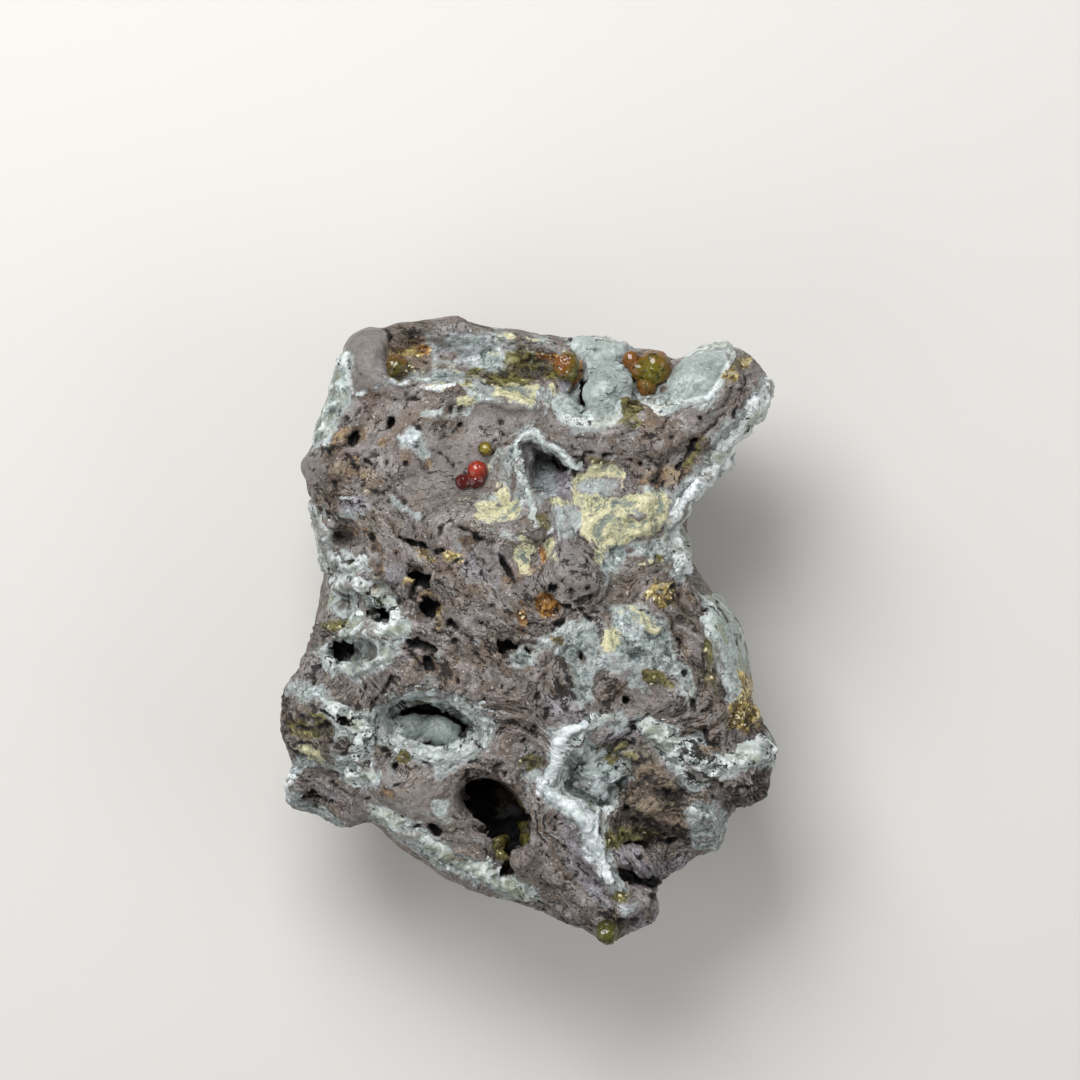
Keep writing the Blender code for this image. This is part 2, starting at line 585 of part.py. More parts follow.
def make_crust(crust, matrix, taken):
    """A knobbly slab that follows the matrix's faces at an even gap."""
    shape = bmesh.new()
    shape.from_mesh(matrix)
    shape.faces.ensure_lookup_table()
    centres = np.array([face.calc_center_median()[:] for face in shape.faces])
    rising = np.array([face.normal.z > crust["steepest"] for face in shape.faces])
    wanted = in_crust(crust, centres[:, 0], centres[:, 1]) & rising & ~taken
    spare = [face for face, keep in zip(shape.faces, wanted) if not keep]
    bmesh.ops.delete(shape, geom=spare, context="FACES")
    largest_patch(shape)
    drop_pinches(shape)
    used = np.array([face.calc_center_median()[:] for face in shape.faces])

    lower = list(shape.verts)
    lifts = {}
    for vert in lower:
        lift = vert.normal.copy()
        at_edge = any(edge.is_boundary for edge in vert.link_edges)
        vert.co += lift * GAP
        lifts[tuple(round(c, 5) for c in vert.co)] = (lift, at_edge)
    grown = bmesh.ops.extrude_face_region(shape, geom=list(shape.faces))
    upper = [item for item in grown["geom"] if isinstance(item, bmesh.types.BMVert)]
    for vert in upper:
        lift, at_edge = lifts[tuple(round(c, 5) for c in vert.co)]
        thick = crust["thickness"] + CRUST_BUMPS * (0.5 + noise.noise(vert.co * 0.9))
        for bx, by, radius, height in crust["balls"]:
            reach = math.hypot(vert.co.x - bx, vert.co.y - by) / radius
            thick += height * math.sqrt(max(0.0, 1.0 - reach * reach))
        vert.co += lift * thick * (EDGE_SHARE if at_edge else 1.0)
    bmesh.ops.recalc_face_normals(shape, faces=shape.faces)
    mesh = bpy.data.meshes.new("crust")
    shape.to_mesh(mesh)
    shape.free()
    return mesh, used


def matrix_top(tree, x, y, radius):
    """The highest point of the matrix under a round spot."""
    heights = []
    for ring in range(4):
        for part in range(12):
            angle = part * math.tau / 12
            spot = Vector((x + math.cos(angle) * radius * ring / 3,
                           y + math.sin(angle) * radius * ring / 3, THICKNESS + 20.0))
            hit = tree.ray_cast(spot, Vector((0.0, 0.0, -1.0)))[0]
            if hit is not None:
                heights.append(hit.z)
    return max(heights)


def closed_ball(centre, across, up):
    """A ball's mesh, finer for a larger ball."""
    shape = bmesh.new()
    bmesh.ops.create_icosphere(shape, subdivisions=3 if across > 2.0 else 2, radius=1.0)
    place = Matrix.Translation(centre) @ Matrix.Diagonal((across, across, up, 1.0))
    bmesh.ops.transform(shape, matrix=place, verts=shape.verts)
    mesh = bpy.data.meshes.new("ball")
    shape.to_mesh(mesh)
    shape.free()
    return mesh


def make_bead(balls, tree):
    """Fused balls with a flat foot that stands just clear of the matrix."""
    level = max(matrix_top(tree, x, y, across * 0.8) for x, y, across, _ in balls) + GAP
    mesh = None
    for x, y, across, up in balls:
        ball = closed_ball((x, y, level), across, up)
        mesh = ball if mesh is None else combine(mesh, ball, "UNION")
    shape = bmesh.new()
    bmesh.ops.create_cube(shape, size=2 * BEAD_FOOT_DEPTH)
    place = Matrix.Translation((balls[0][0], balls[0][1], level - BEAD_FOOT_DEPTH))
    bmesh.ops.transform(shape, matrix=place, verts=shape.verts)
    below = bpy.data.meshes.new("below")
    shape.to_mesh(below)
    shape.free()
    return with_modifier(combine(mesh, below, "DIFFERENCE"), "TRIANGULATE")


def to_metres(pieces):
    """Centre the whole specimen on its box and turn its millimetres to metres."""
    corners = np.concatenate([points_of(piece.data) for piece in pieces])
    low, high = corners.min(axis=0), corners.max(axis=0)
    shift = Vector((-(low[0] + high[0]) / 2, -(low[1] + high[1]) / 2, -low[2]))
    for piece in pieces:
        piece.data.transform(Matrix.Scale(MM, 4) @ Matrix.Translation(shift))
        piece.data.update()


def main():
    """Build the matrix, then the crusts and beads that sit on it."""
    for thing in list(bpy.data.objects):
        bpy.data.objects.remove(thing)

    matrix = make_matrix()
    tree_shape = bmesh.new()
    tree_shape.from_mesh(matrix)
    tree = BVHTree.FromBMesh(tree_shape)
    tree_shape.faces.ensure_lookup_table()
    centres = np.array([face.calc_center_median()[:] for face in tree_shape.faces])
    tree_shape.free()

    pieces = []
    taken = np.zeros(len(centres), dtype=bool)
    for name, crust in CRUSTS.items():
        mesh, used = make_crust(crust, matrix, taken)
        taken |= near_any(centres, used)
        pieces.append(add_object(name, mesh, material(name, crust["colour"], 0.5)))
    for name, balls in BEADS.items():
        mesh = make_bead(balls, tree)
        pieces.append(add_object(name, mesh, material(name, BEAD_COLOURS[name], 0.15)))
    pieces.insert(0, add_object("matrix", matrix, material("matrix", MATRIX_COLOUR, 0.75)))
    to_metres(pieces)


def near_any(centres, used):
    """Which face centres lie within a crust's clear distance of the faces it has used."""
    near = np.zeros(len(centres), dtype=bool)
    for spot in used:
        near |= np.hypot(centres[:, 0] - spot[0], centres[:, 1] - spot[1]) < 2.4
    return near


main()
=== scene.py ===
"""Looks of a rough botryoidal iron-stone specimen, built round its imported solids.

The stone lies on its flat back and shows its face to a camera straight above. Places on the face
are millimetres on a face sheet, whose zero is near the middle of the face: x runs across it and y
along its length. They are turned to the frame's metres where a mesh is read or written.
"""
import logging
import math
from dataclasses import dataclass
from enum import Enum
from typing import Any, Sequence

import bpy
import numpy as np
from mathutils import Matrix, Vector


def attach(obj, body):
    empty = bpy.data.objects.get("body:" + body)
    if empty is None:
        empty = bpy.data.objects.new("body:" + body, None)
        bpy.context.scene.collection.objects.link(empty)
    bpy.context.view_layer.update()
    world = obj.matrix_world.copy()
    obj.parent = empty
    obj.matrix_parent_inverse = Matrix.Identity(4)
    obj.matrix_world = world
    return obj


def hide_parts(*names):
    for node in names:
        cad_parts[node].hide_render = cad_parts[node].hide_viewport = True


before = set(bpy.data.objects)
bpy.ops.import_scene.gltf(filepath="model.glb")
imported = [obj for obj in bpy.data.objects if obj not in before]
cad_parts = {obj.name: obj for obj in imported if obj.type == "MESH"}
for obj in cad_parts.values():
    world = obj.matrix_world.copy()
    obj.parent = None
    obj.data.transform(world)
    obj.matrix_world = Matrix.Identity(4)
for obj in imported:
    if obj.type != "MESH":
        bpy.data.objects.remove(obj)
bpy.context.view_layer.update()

LOG = logging.getLogger("specimen")

MM = 0.001
SHEET_IN_FRAME = (0.044, -0.262)    # the face sheet's zero in the frame, in millimetres
BODY = "root"

Array = np.ndarray
Piece = bpy.types.Object
Socket = bpy.types.NodeSocket
Tree = bpy.types.NodeTree
Point = tuple[float, float]


# Colour and node helpers

def srgb(code: str, alpha: float = 1.0) -> tuple[float, float, float, float]:
    """Turn an sRGB hex colour to linear values.

    Args:
        code: the colour as #rrggbb.
        alpha: the fourth value to give with it.

    Returns:
        Linear red, green, blue and alpha.
    """
    parts = [int(code[place:place + 2], 16) / 255.0 for place in (1, 3, 5)]
    linear = [p / 12.92 if p <= 0.04045 else ((p + 0.055) / 1.055) ** 2.4 for p in parts]
    return (linear[0], linear[1], linear[2], alpha)


def add_node(tree: Tree, kind: str, inputs: dict[Any, Any] | None = None, **settings: Any) -> bpy.types.Node:
    """Add a node with its settings and links.

    Args:
        tree: the node tree to add it to.
        kind: the node's type name.
        inputs: values for its inputs, or sockets to link to them, by name or number.
        settings: the node's own properties.

    Returns:
        The new node.
    """
    node = tree.nodes.new(kind)
    for name, value in settings.items():
        setattr(node, name, value)
    for name, value in (inputs or {}).items():
        if isinstance(value, Socket):
            tree.links.new(value, node.inputs[name])
        else:
            node.inputs[name].default_value = value
    return node


def smooth_step(value: Array) -> Array:
    """A soft ramp from 0 to 1."""
    t = np.clip(value, 0.0, 1.0)
    return t * t * (3.0 - 2.0 * t)


# Noise over points in millimetres

class Noise:
    """Seeded smooth noise and cell noise over points in millimetres."""

    SIZE = 256

    def __init__(self, seed: int) -> None:
        """Draw the tables.

        Args:
            seed: the same seed gives the same noise.
        """
        rng = np.random.default_rng(seed)
        self.shuffle = rng.permutation(self.SIZE).astype(np.int64)
        slopes = rng.normal(size=(self.SIZE, 3))
        self.slopes = slopes / np.linalg.norm(slopes, axis=1)[:, None]
        self.spots = rng.random((self.SIZE, 3))
        self.values = rng.random(self.SIZE)

    def _mixed(self, cell: Array) -> Array:
        """One table number for each whole-number cell."""
        last = self.SIZE - 1
        first = self.shuffle[cell[:, 0] & last]
        second = self.shuffle[(first + cell[:, 1]) & last]
        return self.shuffle[(second + cell[:, 2]) & last]

    def smooth(self, points: Array, size: float) -> Array:
        """Smooth noise.

        Args:
            points: places in millimetres, one row each.
            size: the grain size in millimetres.

        Returns:
            About -1 to 1 for each point.
        """
        scaled = points / size
        base = np.floor(scaled).astype(np.int64)
        part = scaled - base
        fade = part * part * part * (part * (part * 6.0 - 15.0) + 10.0)
        total = np.zeros(len(points))
        for dx in (0, 1):
            for dy in (0, 1):
                for dz in (0, 1):
                    corner = np.array((dx, dy, dz))
                    slope = self.slopes[self._mixed(base + corner)]
                    weight = np.ones(len(points))
                    for axis in range(3):
                        weight = weight * (fade[:, axis] if corner[axis] else 1.0 - fade[:, axis])
                    total += weight * np.einsum("ij,ij->i", slope, part - corner)
        return total * 1.6

    def layered(self, points: Array, size: float, layers: int, keep: float = 0.5) -> Array:
        """Smooth noise in layers of finer and finer grain.

        Args:
            points: places in millimetres.
            size: the coarsest grain in millimetres.
            layers: how many layers, each half as coarse as the last.
            keep: each layer's strength as a share of the last one's.

        Returns:
            About -1 to 1 for each point.
        """
        total = np.zeros(len(points))
        strength, whole = 1.0, 0.0
        for layer in range(layers):
            total += strength * self.smooth(points + 17.3 * layer, size / 2 ** layer)
            whole += strength
            strength *= keep
        return total / whole

    def cells(self, points: Array, size: float) -> tuple[Array, Array, Array, Array]:
        """Distances to scattered seeds, one seed in each cell.

        Args:
            points: places in millimetres.
            size: the cell size in millimetres.

        Returns:
            The nearest and second nearest distance in cell sizes, the nearest seed's own number
            from 0 to 1, and the height of its own leaning plane.
        """
        scaled = points / size
        base = np.floor(scaled).astype(np.int64)
        nearest = np.full(len(points), 9.0)
        second = np.full(len(points), 9.0)
        number = np.zeros(len(points))
        plane = np.zeros(len(points))
        for dx in (-1, 0, 1):
            for dy in (-1, 0, 1):
                for dz in (-1, 0, 1):
                    cell = base + (dx, dy, dz)
                    mixed = self._mixed(cell)
                    offset = scaled - cell - self.spots[mixed]
                    away = np.linalg.norm(offset, axis=1)
                    closer = away < nearest
                    second = np.where(closer, nearest, np.minimum(second, away))
                    number = np.where(closer, self.values[mixed], number)
                    lean = np.einsum("ij,ij->i", self.slopes[mixed], offset)
                    plane = np.where(closer, lean, plane)
                    nearest = np.where(closer, away, nearest)
        return nearest, second, number, plane


# Shapes drawn on the face sheet

def box_of(points: Sequence[Point], margin: float) -> tuple[float, float, float, float]:
    """The lowest and highest x, then the lowest and highest y, of points with a margin."""
    across = [x for x, _ in points]
    along = [y for _, y in points]
    return min(across) - margin, max(across) + margin, min(along) - margin, max(along) + margin


@dataclass(frozen=True)
class Disc:
    """A turned ellipse on the face sheet."""

    x: float
    y: float
    half_x: float
    half_y: float
    turn: float = 0.0

    def reach(self, x: Array, y: Array) -> Array:
        """How far out each point is, as a share of the way to the edge."""
        angle = math.radians(self.turn)
        dx, dy = x - self.x, y - self.y
        along = dx * math.cos(angle) + dy * math.sin(angle)
        across = -dx * math.sin(angle) + dy * math.cos(angle)
        return np.hypot(along / self.half_x, across / self.half_y)

    def inside(self, x: Array, y: Array) -> Array:
        """Depth inside the edge in millimetres, below zero outside."""
        return (1.0 - self.reach(x, y)) * min(self.half_x, self.half_y)

    def box(self) -> tuple[float, float, float, float]:
        """The lowest and highest x, then the lowest and highest y."""
        far = max(self.half_x, self.half_y)
        return self.x - far, self.x + far, self.y - far, self.y + far


@dataclass(frozen=True)
class Line:
    """A band of even width along straight runs."""

    half: float
    points: Sequence[Point]

    def away(self, x: Array, y: Array) -> Array:
        """Distance to the line in millimetres."""
        best = np.full(len(x), 1e9)
        for (x0, y0), (x1, y1) in zip(self.points[:-1], self.points[1:]):
            dx, dy = x1 - x0, y1 - y0
            share = np.clip(((x - x0) * dx + (y - y0) * dy) / (dx * dx + dy * dy), 0.0, 1.0)
            best = np.minimum(best, np.hypot(x - x0 - share * dx, y - y0 - share * dy))
        return best

    def inside(self, x: Array, y: Array) -> Array:
        """Depth inside the band's edge in millimetres, below zero outside."""
        return self.half - self.away(x, y)

    def box(self) -> tuple[float, float, float, float]:
        """The lowest and highest x, then the lowest and highest y."""
        return box_of(self.points, self.half)


@dataclass(frozen=True)
class Loop:
    """A closed outline of straight runs."""

    points: Sequence[Point]

    def inside(self, x: Array, y: Array) -> Array:
        """Depth inside the outline in millimetres, below zero outside."""
        ring = list(self.points) + [self.points[0]]
        within = np.zeros(len(x), dtype=bool)
        for (x0, y0), (x1, y1) in zip(ring[:-1], ring[1:]):
            if y0 == y1:
                continue
            crosses = (y0 > y) != (y1 > y)
            within ^= crosses & (x < (x1 - x0) * (y - y0) / (y1 - y0) + x0)
        away = Line(0.0, ring).away(x, y)
        return np.where(within, away, -away)

    def box(self) -> tuple[float, float, float, float]:
        """The lowest and highest x, then the lowest and highest y."""
        return box_of(self.points, 0.0)


Shape = Disc | Line | Loop


def loop(*places: float) -> Loop:
    """A closed outline through points given as x, y, x, y and so on."""
    return Loop(tuple(zip(places[::2], places[1::2])))


def line(half: float, *places: float) -> Line:
    """A band of a half width through points given as x, y, x, y and so on."""
    return Line(half, tuple(zip(places[::2], places[1::2])))


def ring(disc: Disc, half: float, start: float = 0.0, end: float = 360.0) -> Line:
    """A band along the edge of a turned ellipse.

    Args:
        disc: the ellipse.
        half: half the band's width, in millimetres.
        start: the angle where it starts, in degrees.
        end: the angle where it ends.

    Returns:
        The band.
    """
    turn = math.radians(disc.turn)
    points = []
    for step in range(21):
        angle = math.radians(start + (end - start) * step / 20.0)
        along, across = disc.half_x * math.cos(angle), disc.half_y * math.sin(angle)
        points.append((disc.x + along * math.cos(turn) - across * math.sin(turn),
                       disc.y + along * math.sin(turn) + across * math.cos(turn)))
    return Line(half, points)


class Tint(Enum):
    """The kinds of ground on the stone's surface, each an attribute, the uppermost one last."""

    BROWN = "brown"
    GREY = "grey"
    LILAC = "lilac"
    RUST = "rust"
    PALE = "pale"
    CREAM = "cream"
    WHITE = "white"
    OLIVE = "olive"
    GOLD = "gold"
    AMBER = "amber"
    # DARK is painted black shadow inside pits, cracks and pores.
    DARK = "dark"


@dataclass(frozen=True)
class Patch:
    """One kind of ground in a shape on the face."""

    tint: Tint
    shape: Shape
    strength: float = 0.9


@dataclass(frozen=True)
class Pit:
    """A hole in the face: its mouth, its depth and how much painted shade it gets inside."""

    mouth: Shape
    depth: float
    wall: float = 0.3
    dark: float = 1.0           # from about 0.6 on painted black shadow inside, below that painted shade
    torn: float = 0.0           # how widely its mouth is torn, in millimetres


@dataclass(frozen=True)
class Ridge:
    """A rounded ridge or rim that stands up from the surface."""

    line: Line
    height: float
    calm: float = 0.0           # 1 for a ridge without crystals


@dataclass(frozen=True)
class Knob:
    """A rounded lump that stands up from the surface."""

    foot: Disc
    height: float
    steep: float = 0.5          # 0.5 for half a ball, 1 for a low dome


P = Tint.PALE
W = Tint.WHITE
C = Tint.CREAM
R = Tint.RUST
O = Tint.OLIVE
G = Tint.GOLD
A = Tint.AMBER
S = Tint.GREY
L = Tint.LILAC
B = Tint.BROWN

PATCHES = (
    # Top left: the smooth striated lump, the tan rim, the ledge under it
    Patch(S, loop(-23.9, 38.8, -21, 40.2, -19.3, 39.5, -18.6, 38.5, -18.8, 36, -19, 33.5, -19.6, 31.6,
        -22.8, 31, -23.3, 33, -22.8, 34.5, -23.6, 37)),
    Patch(B, loop(-18, 38.8, -17.8, 41, -8, 42, -3, 40, -4, 38.9, -9, 39.7, -14, 39.4), 0.35),
    Patch(P, loop(-12.8, 38, -6, 38.6, -3, 39.6, -1.5, 37, -3, 33.9, -7, 34.2, -9, 34.8, -12.4, 34.6), 0.8),
    Patch(L, Disc(-11.2, 36.4, 1.1, 1), 0.7), Patch(L, Disc(-8.6, 38.7, 1.2, 0.8), 0.7),
    Patch(S, loop(-17.8, 38.4, -13, 39.2, -9, 39.4, -8.8, 38.2, -12.6, 37.9, -17.6, 37.6), 0.5),
    Patch(R, loop(-18.4, 37.4, -16, 38, -14, 38, -13.2, 35.6, -13.1, 34, -15, 33.6, -16, 35.6, -18.4, 36),
        0.7),
    Patch(G, Disc(-15.6, 36.4, 1.6, 0.9)), Patch(A, Disc(-13.6, 36.8, 0.8, 0.6), 0.6),
    Patch(O, Disc(-16.6, 34, 1.9, 1.6)), Patch(C, Disc(-11.2, 32.9, 3.6, 1.5)),
    Patch(P, Disc(-11.3, 32.8, 3.1, 1.1), 0.95), Patch(W, Disc(-12, 33.3, 2, 0.5, 8), 0.6),
    Patch(W, Disc(-8, 36.2, 1.5, 0.9, 20), 0.6), Patch(W, Disc(-4.6, 37.4, 1.3, 0.7, -20), 0.6),
    Patch(P, loop(-15.4, 32.2, -12, 34.4, -8.4, 34, -3.6, 32.2, 1.8, 32.2, 2.4, 31, -4.4, 31.4, -8.6, 32.2,
        -12, 31.6), 0.95),
    Patch(P, Disc(-14.9, 32.8, 1.4, 0.8)), Patch(O, line(0.7, -8.1, 33.2, -5.6, 32.8, -3.4, 32.7), 0.8),
    Patch(P, line(0.35, -8.6, 31.4, -6.6, 30.6, -2.8, 29.4, 0.5, 29, 2.3, 29.2)),
    Patch(W, line(0.16, -22.8, 30.9, -21.5, 31.2, -20, 31.3, -19, 32.3, -17.6, 32.7, -16.6, 32.1,
        -14.6, 31.9, -12, 31.3, -9.6, 31.8)),
    # Upper left plateau
    Patch(P, loop(-17, 25, -15.4, 26.7, -14.4, 26.2, -13.9, 25.2, -13.6, 24, -12.6, 22.6, -13.6, 22.5,
        -14.7, 23.4, -15.5, 23.8, -16.7, 24.2)),
    Patch(W, Disc(-15.6, 25.3, 1.2, 0.8, 15)), Patch(P, Disc(-6.9, 27.8, 1.4, 1, 20)),
    Patch(W, Disc(-6.9, 27.8, 0.7, 0.5, 20), 0.85), Patch(P, Disc(-12.6, 28.4, 1.5, 0.45)),
    Patch(P, Disc(-17.6, 21.6, 0.8, 0.5), 0.8), Patch(C, Disc(-9.8, 30.8, 1.2, 0.4, -15), 0.45),
    Patch(R, loop(-25.6, 26, -22.5, 26.7, -18, 25.9, -17.2, 24.6, -18.2, 23.8, -20, 24, -22, 24.6,
        -24, 23.6, -25.8, 24.4), 0.75),
    Patch(R, Disc(-24, 21.9, 2.4, 1.8, -20), 0.85), Patch(R, Disc(-21.4, 19.6, 2.2, 1.3), 0.45),
    Patch(R, Disc(-13, 22, 0.8, 0.6)), Patch(R, Disc(-16.4, 23.2, 1.4, 0.8, -30), 0.4),
    Patch(S, Disc(-28.4, 22, 1.9, 2.2), 0.6), Patch(B, Disc(-25, 18.6, 4.8, 1.9), 0.3),
    Patch(P, loop(-18.8, 18.1, -17.6, 17.9, -15.6, 16.7, -14, 15.3, -14.3, 14.6, -15.8, 15.1, -17.9, 16.7),
        0.95),
    Patch(L, Disc(-22.9, 16.3, 1.9, 1.5)), Patch(P, Disc(-22.6, 15.3, 1.5, 0.6), 0.7),
    Patch(W, Disc(-23.2, 17.7, 1, 0.25, 20), 0.7), Patch(S, Disc(-9, 21, 5.5, 4), 0.5),
    Patch(L, Disc(-17.4, 19.8, 2.2, 1.6, -40), 0.4), Patch(S, Disc(-13.2, 18.4, 3, 2.2), 0.55),
    Patch(C, Disc(-7.2, 18, 1.2, 0.8), 0.35),
    # Top middle
    Patch(S, loop(-8, 29.6, -3, 30.1, 0, 29.4, 2.5, 28.8, 3.6, 27.4, 3.4, 26.4, 0, 26.8, -3, 25.6,
        -4.5, 26.6, -8, 27), 0.8),
    Patch(C, loop(-4.2, 32.2, 0, 32, 2.6, 31.9, 3.5, 30.4, 1.5, 29.7, -2.5, 30.1, -4, 30.6)),
    Patch(P, loop(-0.5, 31.8, 2.6, 31.9, 3.8, 30.2, 3, 29, 1.2, 29.9), 0.7),
    Patch(O, loop(-3.2, 36.4, -0.8, 37.7, 1, 36.6, 2.7, 36.2, 3.6, 36, 6, 35.6, 6.8, 33.8, 5.6, 32.2,
        2.6, 33, 0, 32.3, -3.2, 32.6), 0.75),
    Patch(A, loop(-0.6, 35.6, 1.2, 36.4, 3.2, 35.4, 5.4, 36.8, 7, 35.2, 6.9, 32.6, 5.6, 31.2, 5.2, 33,
        3.2, 33.8, 0.6, 33.4)),
    Patch(O, loop(-2.4, 36.2, 0, 36.6, 2.4, 35.6, 4.6, 36.6, 6.2, 35, 4.8, 33.6, 1.6, 33.4, -1.6, 33.6),
        0.95),
    Patch(A, Disc(3.4, 35.6, 1.9, 0.8, -10), 0.95), Patch(C, Disc(-3.4, 37.4, 1.5, 1.2), 0.55),
    Patch(C, Disc(0.3, 37.3, 0.6, 0.9), 0.6), Patch(P, Disc(1.6, 38.2, 1.2, 0.5), 0.8),
    Patch(S, Disc(-1, 38.7, 2, 0.6), 0.5),
    Patch(P, loop(4.3, 38.4, 10, 38.8, 12.6, 37.6, 14.2, 36.8, 12, 35.4, 15, 31.2, 17.6, 31, 18, 33,
        19.4, 34.8, 23, 37.4, 27, 38, 26.4, 35.4, 25, 32, 22.6, 29.6, 17.6, 28.7, 14, 30.4, 12.6, 28.2,
        9, 25.9, 6, 26.2, 3.4, 28, 2.4, 30.6, 6.4, 31.4, 7.3, 34.2, 6, 36.2)),
    Patch(O, loop(12.6, 29.6, 13.8, 30.1, 15.4, 29, 16.8, 28, 16.6, 27, 14, 26.6, 11.4, 27, 12.2, 28.4),
        0.95),
    Patch(R, loop(15.2, 29, 16.8, 28, 16.6, 27, 14.8, 26.8, 14.6, 27.8)),
    Patch(L, Disc(4.4, 32.2, 1, 1), 0.8), Patch(R, Disc(3.1, 32.1, 0.35, 0.4), 1),
    Patch(G, line(0.5, 25.2, 32.6, 26.4, 33.3, 27.4, 34.4, 28.4, 35.3)),
    Patch(O, line(0.4, 26.4, 34.3, 27.2, 35.2, 27.8, 36), 0.7),
    # Upper right arm
    Patch(O, line(0.5, 20.2, 22, 21.4, 23.5, 22, 25), 0.75), Patch(R, Disc(15.3, 19, 1.8, 0.8), 0.8),
    Patch(R, Disc(18.6, 20.3, 2.6, 0.9, 12), 0.4), Patch(O, Disc(8.8, 22.3, 1.2, 0.5), 0.6),
    Patch(P, line(1.6, 30.6, 29.8, 28.2, 27, 25.6, 24.6, 25, 21.6, 22.4, 19.6, 20.2, 17, 18.6, 13.8,
        19.8, 11, 19.6, 8.6), 0.85),
    # Middle: cream layers, blue-grey windows
    Patch(P, loop(-4.6, 22.4, -2.4, 24.4, -1.6, 20, -0.4, 14, -0.8, 12.2, -3.4, 12.6, -6.6, 14.4,
        -6.4, 17.4, -4.6, 19.6), 0.55),
    Patch(C, loop(7, 20.6, 8.5, 21.8, 11, 21.9, 12.8, 20.9, 13.2, 18.5, 14, 17.9, 17.8, 17.3, 17.9, 14.5,
        17.4, 12.6, 14, 12, 10, 11.9, 9.5, 10, 8.9, 9, 8.6, 11.5, 7, 13, 6.2, 15.5, 4, 16.2, 2.3, 16.8,
        2.5, 17.6, 6, 18.4, 5, 19.6)),
    Patch(P, Disc(9.2, 18.9, 3.4, 1.1), 0.8), Patch(P, Disc(14.4, 15.4, 1.5, 0.5, -6), 0.8),
    Patch(P, Disc(15.6, 18, 1.6, 0.5, -6), 0.5), Patch(C, Disc(-2.5, 16.2, 4.1, 0.85, -64)),
    Patch(C, Disc(-5, 15.3, 2, 1.5), 0.7),
    Patch(L, loop(-0.4, 24, 1.2, 23.6, 3.6, 21.8, 5.8, 20.2, 5.4, 17.6, 2.2, 17, 1.2, 15.6, 0.6, 18,
        -0.2, 21), 0.95),
    Patch(P, Disc(2.2, 19.4, 1.2, 2.6, -10), 0.8), Patch(P, Disc(4.8, 14.6, 2, 2.4), 0.8),
    Patch(O, Disc(1.6, 14.2, 1, 1), 0.6),
    Patch(W, line(0.22, 2.1, 12.9, 2.9, 13.3, 3.6, 12.9, 3.9, 12.1), 0.8),
    Patch(P, loop(10, 11.8, 17.5, 12.2, 18.4, 10.5, 17.6, 9.2, 13, 9.6, 11.4, 8.2, 9.9, 5.6, 9.2, 8,
        9.6, 10)),
    Patch(O, Disc(16.6, 9.6, 0.6, 0.5), 0.7), Patch(C, Disc(15.4, 9.4, 0.9, 0.5), 0.5),
    Patch(A, Disc(2, 10, 0.6, 1.1)), Patch(A, Disc(-0.9, 2.4, 0.7, 1.4)),
    Patch(C, Disc(2.9, 10.6, 0.9, 1.6), 0.8), Patch(R, Disc(-2.8, 6.8, 0.6, 0.45)),
    Patch(R, Disc(-7.8, 11.8, 0.7, 0.4), 0.8), Patch(R, Disc(0.4, 7.8, 1.3, 0.6), 0.45),
    Patch(C, Disc(-0.8, 9, 0.7, 1.3, 20), 0.5),
    Patch(S, loop(3, 10.8, 7.5, 11.2, 8.4, 9, 8.7, 5, 7.5, 3.6, 4.6, 4.4, 3.5, 7), 0.55),
    Patch(S, Disc(-0.2, 5.3, 1.6, 1.4), 0.6), Patch(L, Disc(0.6, 6.8, 1, 0.6), 0.7),
    Patch(A, Disc(2.4, 3.7, 1.8, 2.1), 0.95), Patch(G, Disc(17.4, 5, 2.1, 1.6), 0.75),
    Patch(G, Disc(20.3, 3.8, 0.8, 1), 0.7),
    Patch(P, loop(10.7, 4, 14.3, 3.2, 18, 1.4, 18.3, -1, 19.3, -3.5, 17, -5, 12.5, -4, 10.5, -3.3,
        10.9, 0)),
    Patch(C, line(0.75, 12, 3.4, 14, 1.9, 16.2, 0.2), 0.65), Patch(C, Disc(10.4, -1.1, 0.8, 1.4), 0.5),
    Patch(P, loop(4.3, 1.2, 6.5, 2.3, 8.5, 1.3, 9, 0, 9.5, -2, 12, -3.5, 14, -4.2, 12, -5, 8.5, -4.5, 8, -8,
        7.9, -10, 6.8, -9.5, 5.8, -6, 6, -4, 4.4, -3, 1.5, -3.2, -1.5, -5, -2.3, -3.5, -1, -1.8, 1.5, -1.3,
        3, -0.5), 0.85),
    Patch(G, Disc(3.8, -1.2, 0.6, 0.4)), Patch(R, Disc(6.9, -3.4, 0.5, 0.7), 0.7),
    Patch(B, line(1.7, 19.6, 1, 21, -2.4, 21.8, -7), 0.35), Patch(O, line(0.5, 23, -1.6, 23.2, -4.2), 0.8),
    Patch(O, line(0.4, 22.8, -5, 24, -7.6), 0.8),
    Patch(O, loop(14.6, -4.8, 16.5, -5, 18.5, -6.5, 18.8, -7.3, 16.5, -7, 15, -6), 0.65),
    Patch(P, line(0.8, 19.4, -4.6, 20.4, -7.2, 21, -9.4), 0.85),
    Patch(P, line(0.5, 14, -4.2, 13.6, -6, 15.2, -7.6), 0.7),
    Patch(P, loop(22.6, 4.4, 25.4, 2.8, 28, 0, 28.4, -6, 27.4, -9, 25.6, -8.8, 24.8, -5, 23.8, -2,
        23.2, 1.4)),
    Patch(G, loop(27, -5.2, 28.6, -6, 29.8, -9.5, 30.4, -11.8, 28, -13, 26, -12.5, 25.8, -10, 26.8, -8.8)),
    # Middle left
    Patch(P, loop(-29.8, 17.4, -28, 17.1, -26.2, 14.2, -25.4, 12.6, -26, 10.6, -23.6, 9.4, -20.6, 9.8,
        -20.4, 8, -25.6, 7.4, -27.4, 9.4, -28.6, 12)),
    Patch(R, Disc(-20, 10.9, 0.8, 1.3), 0.8), Patch(R, Disc(-19.5, 7.8, 0.8, 1.1), 0.8),
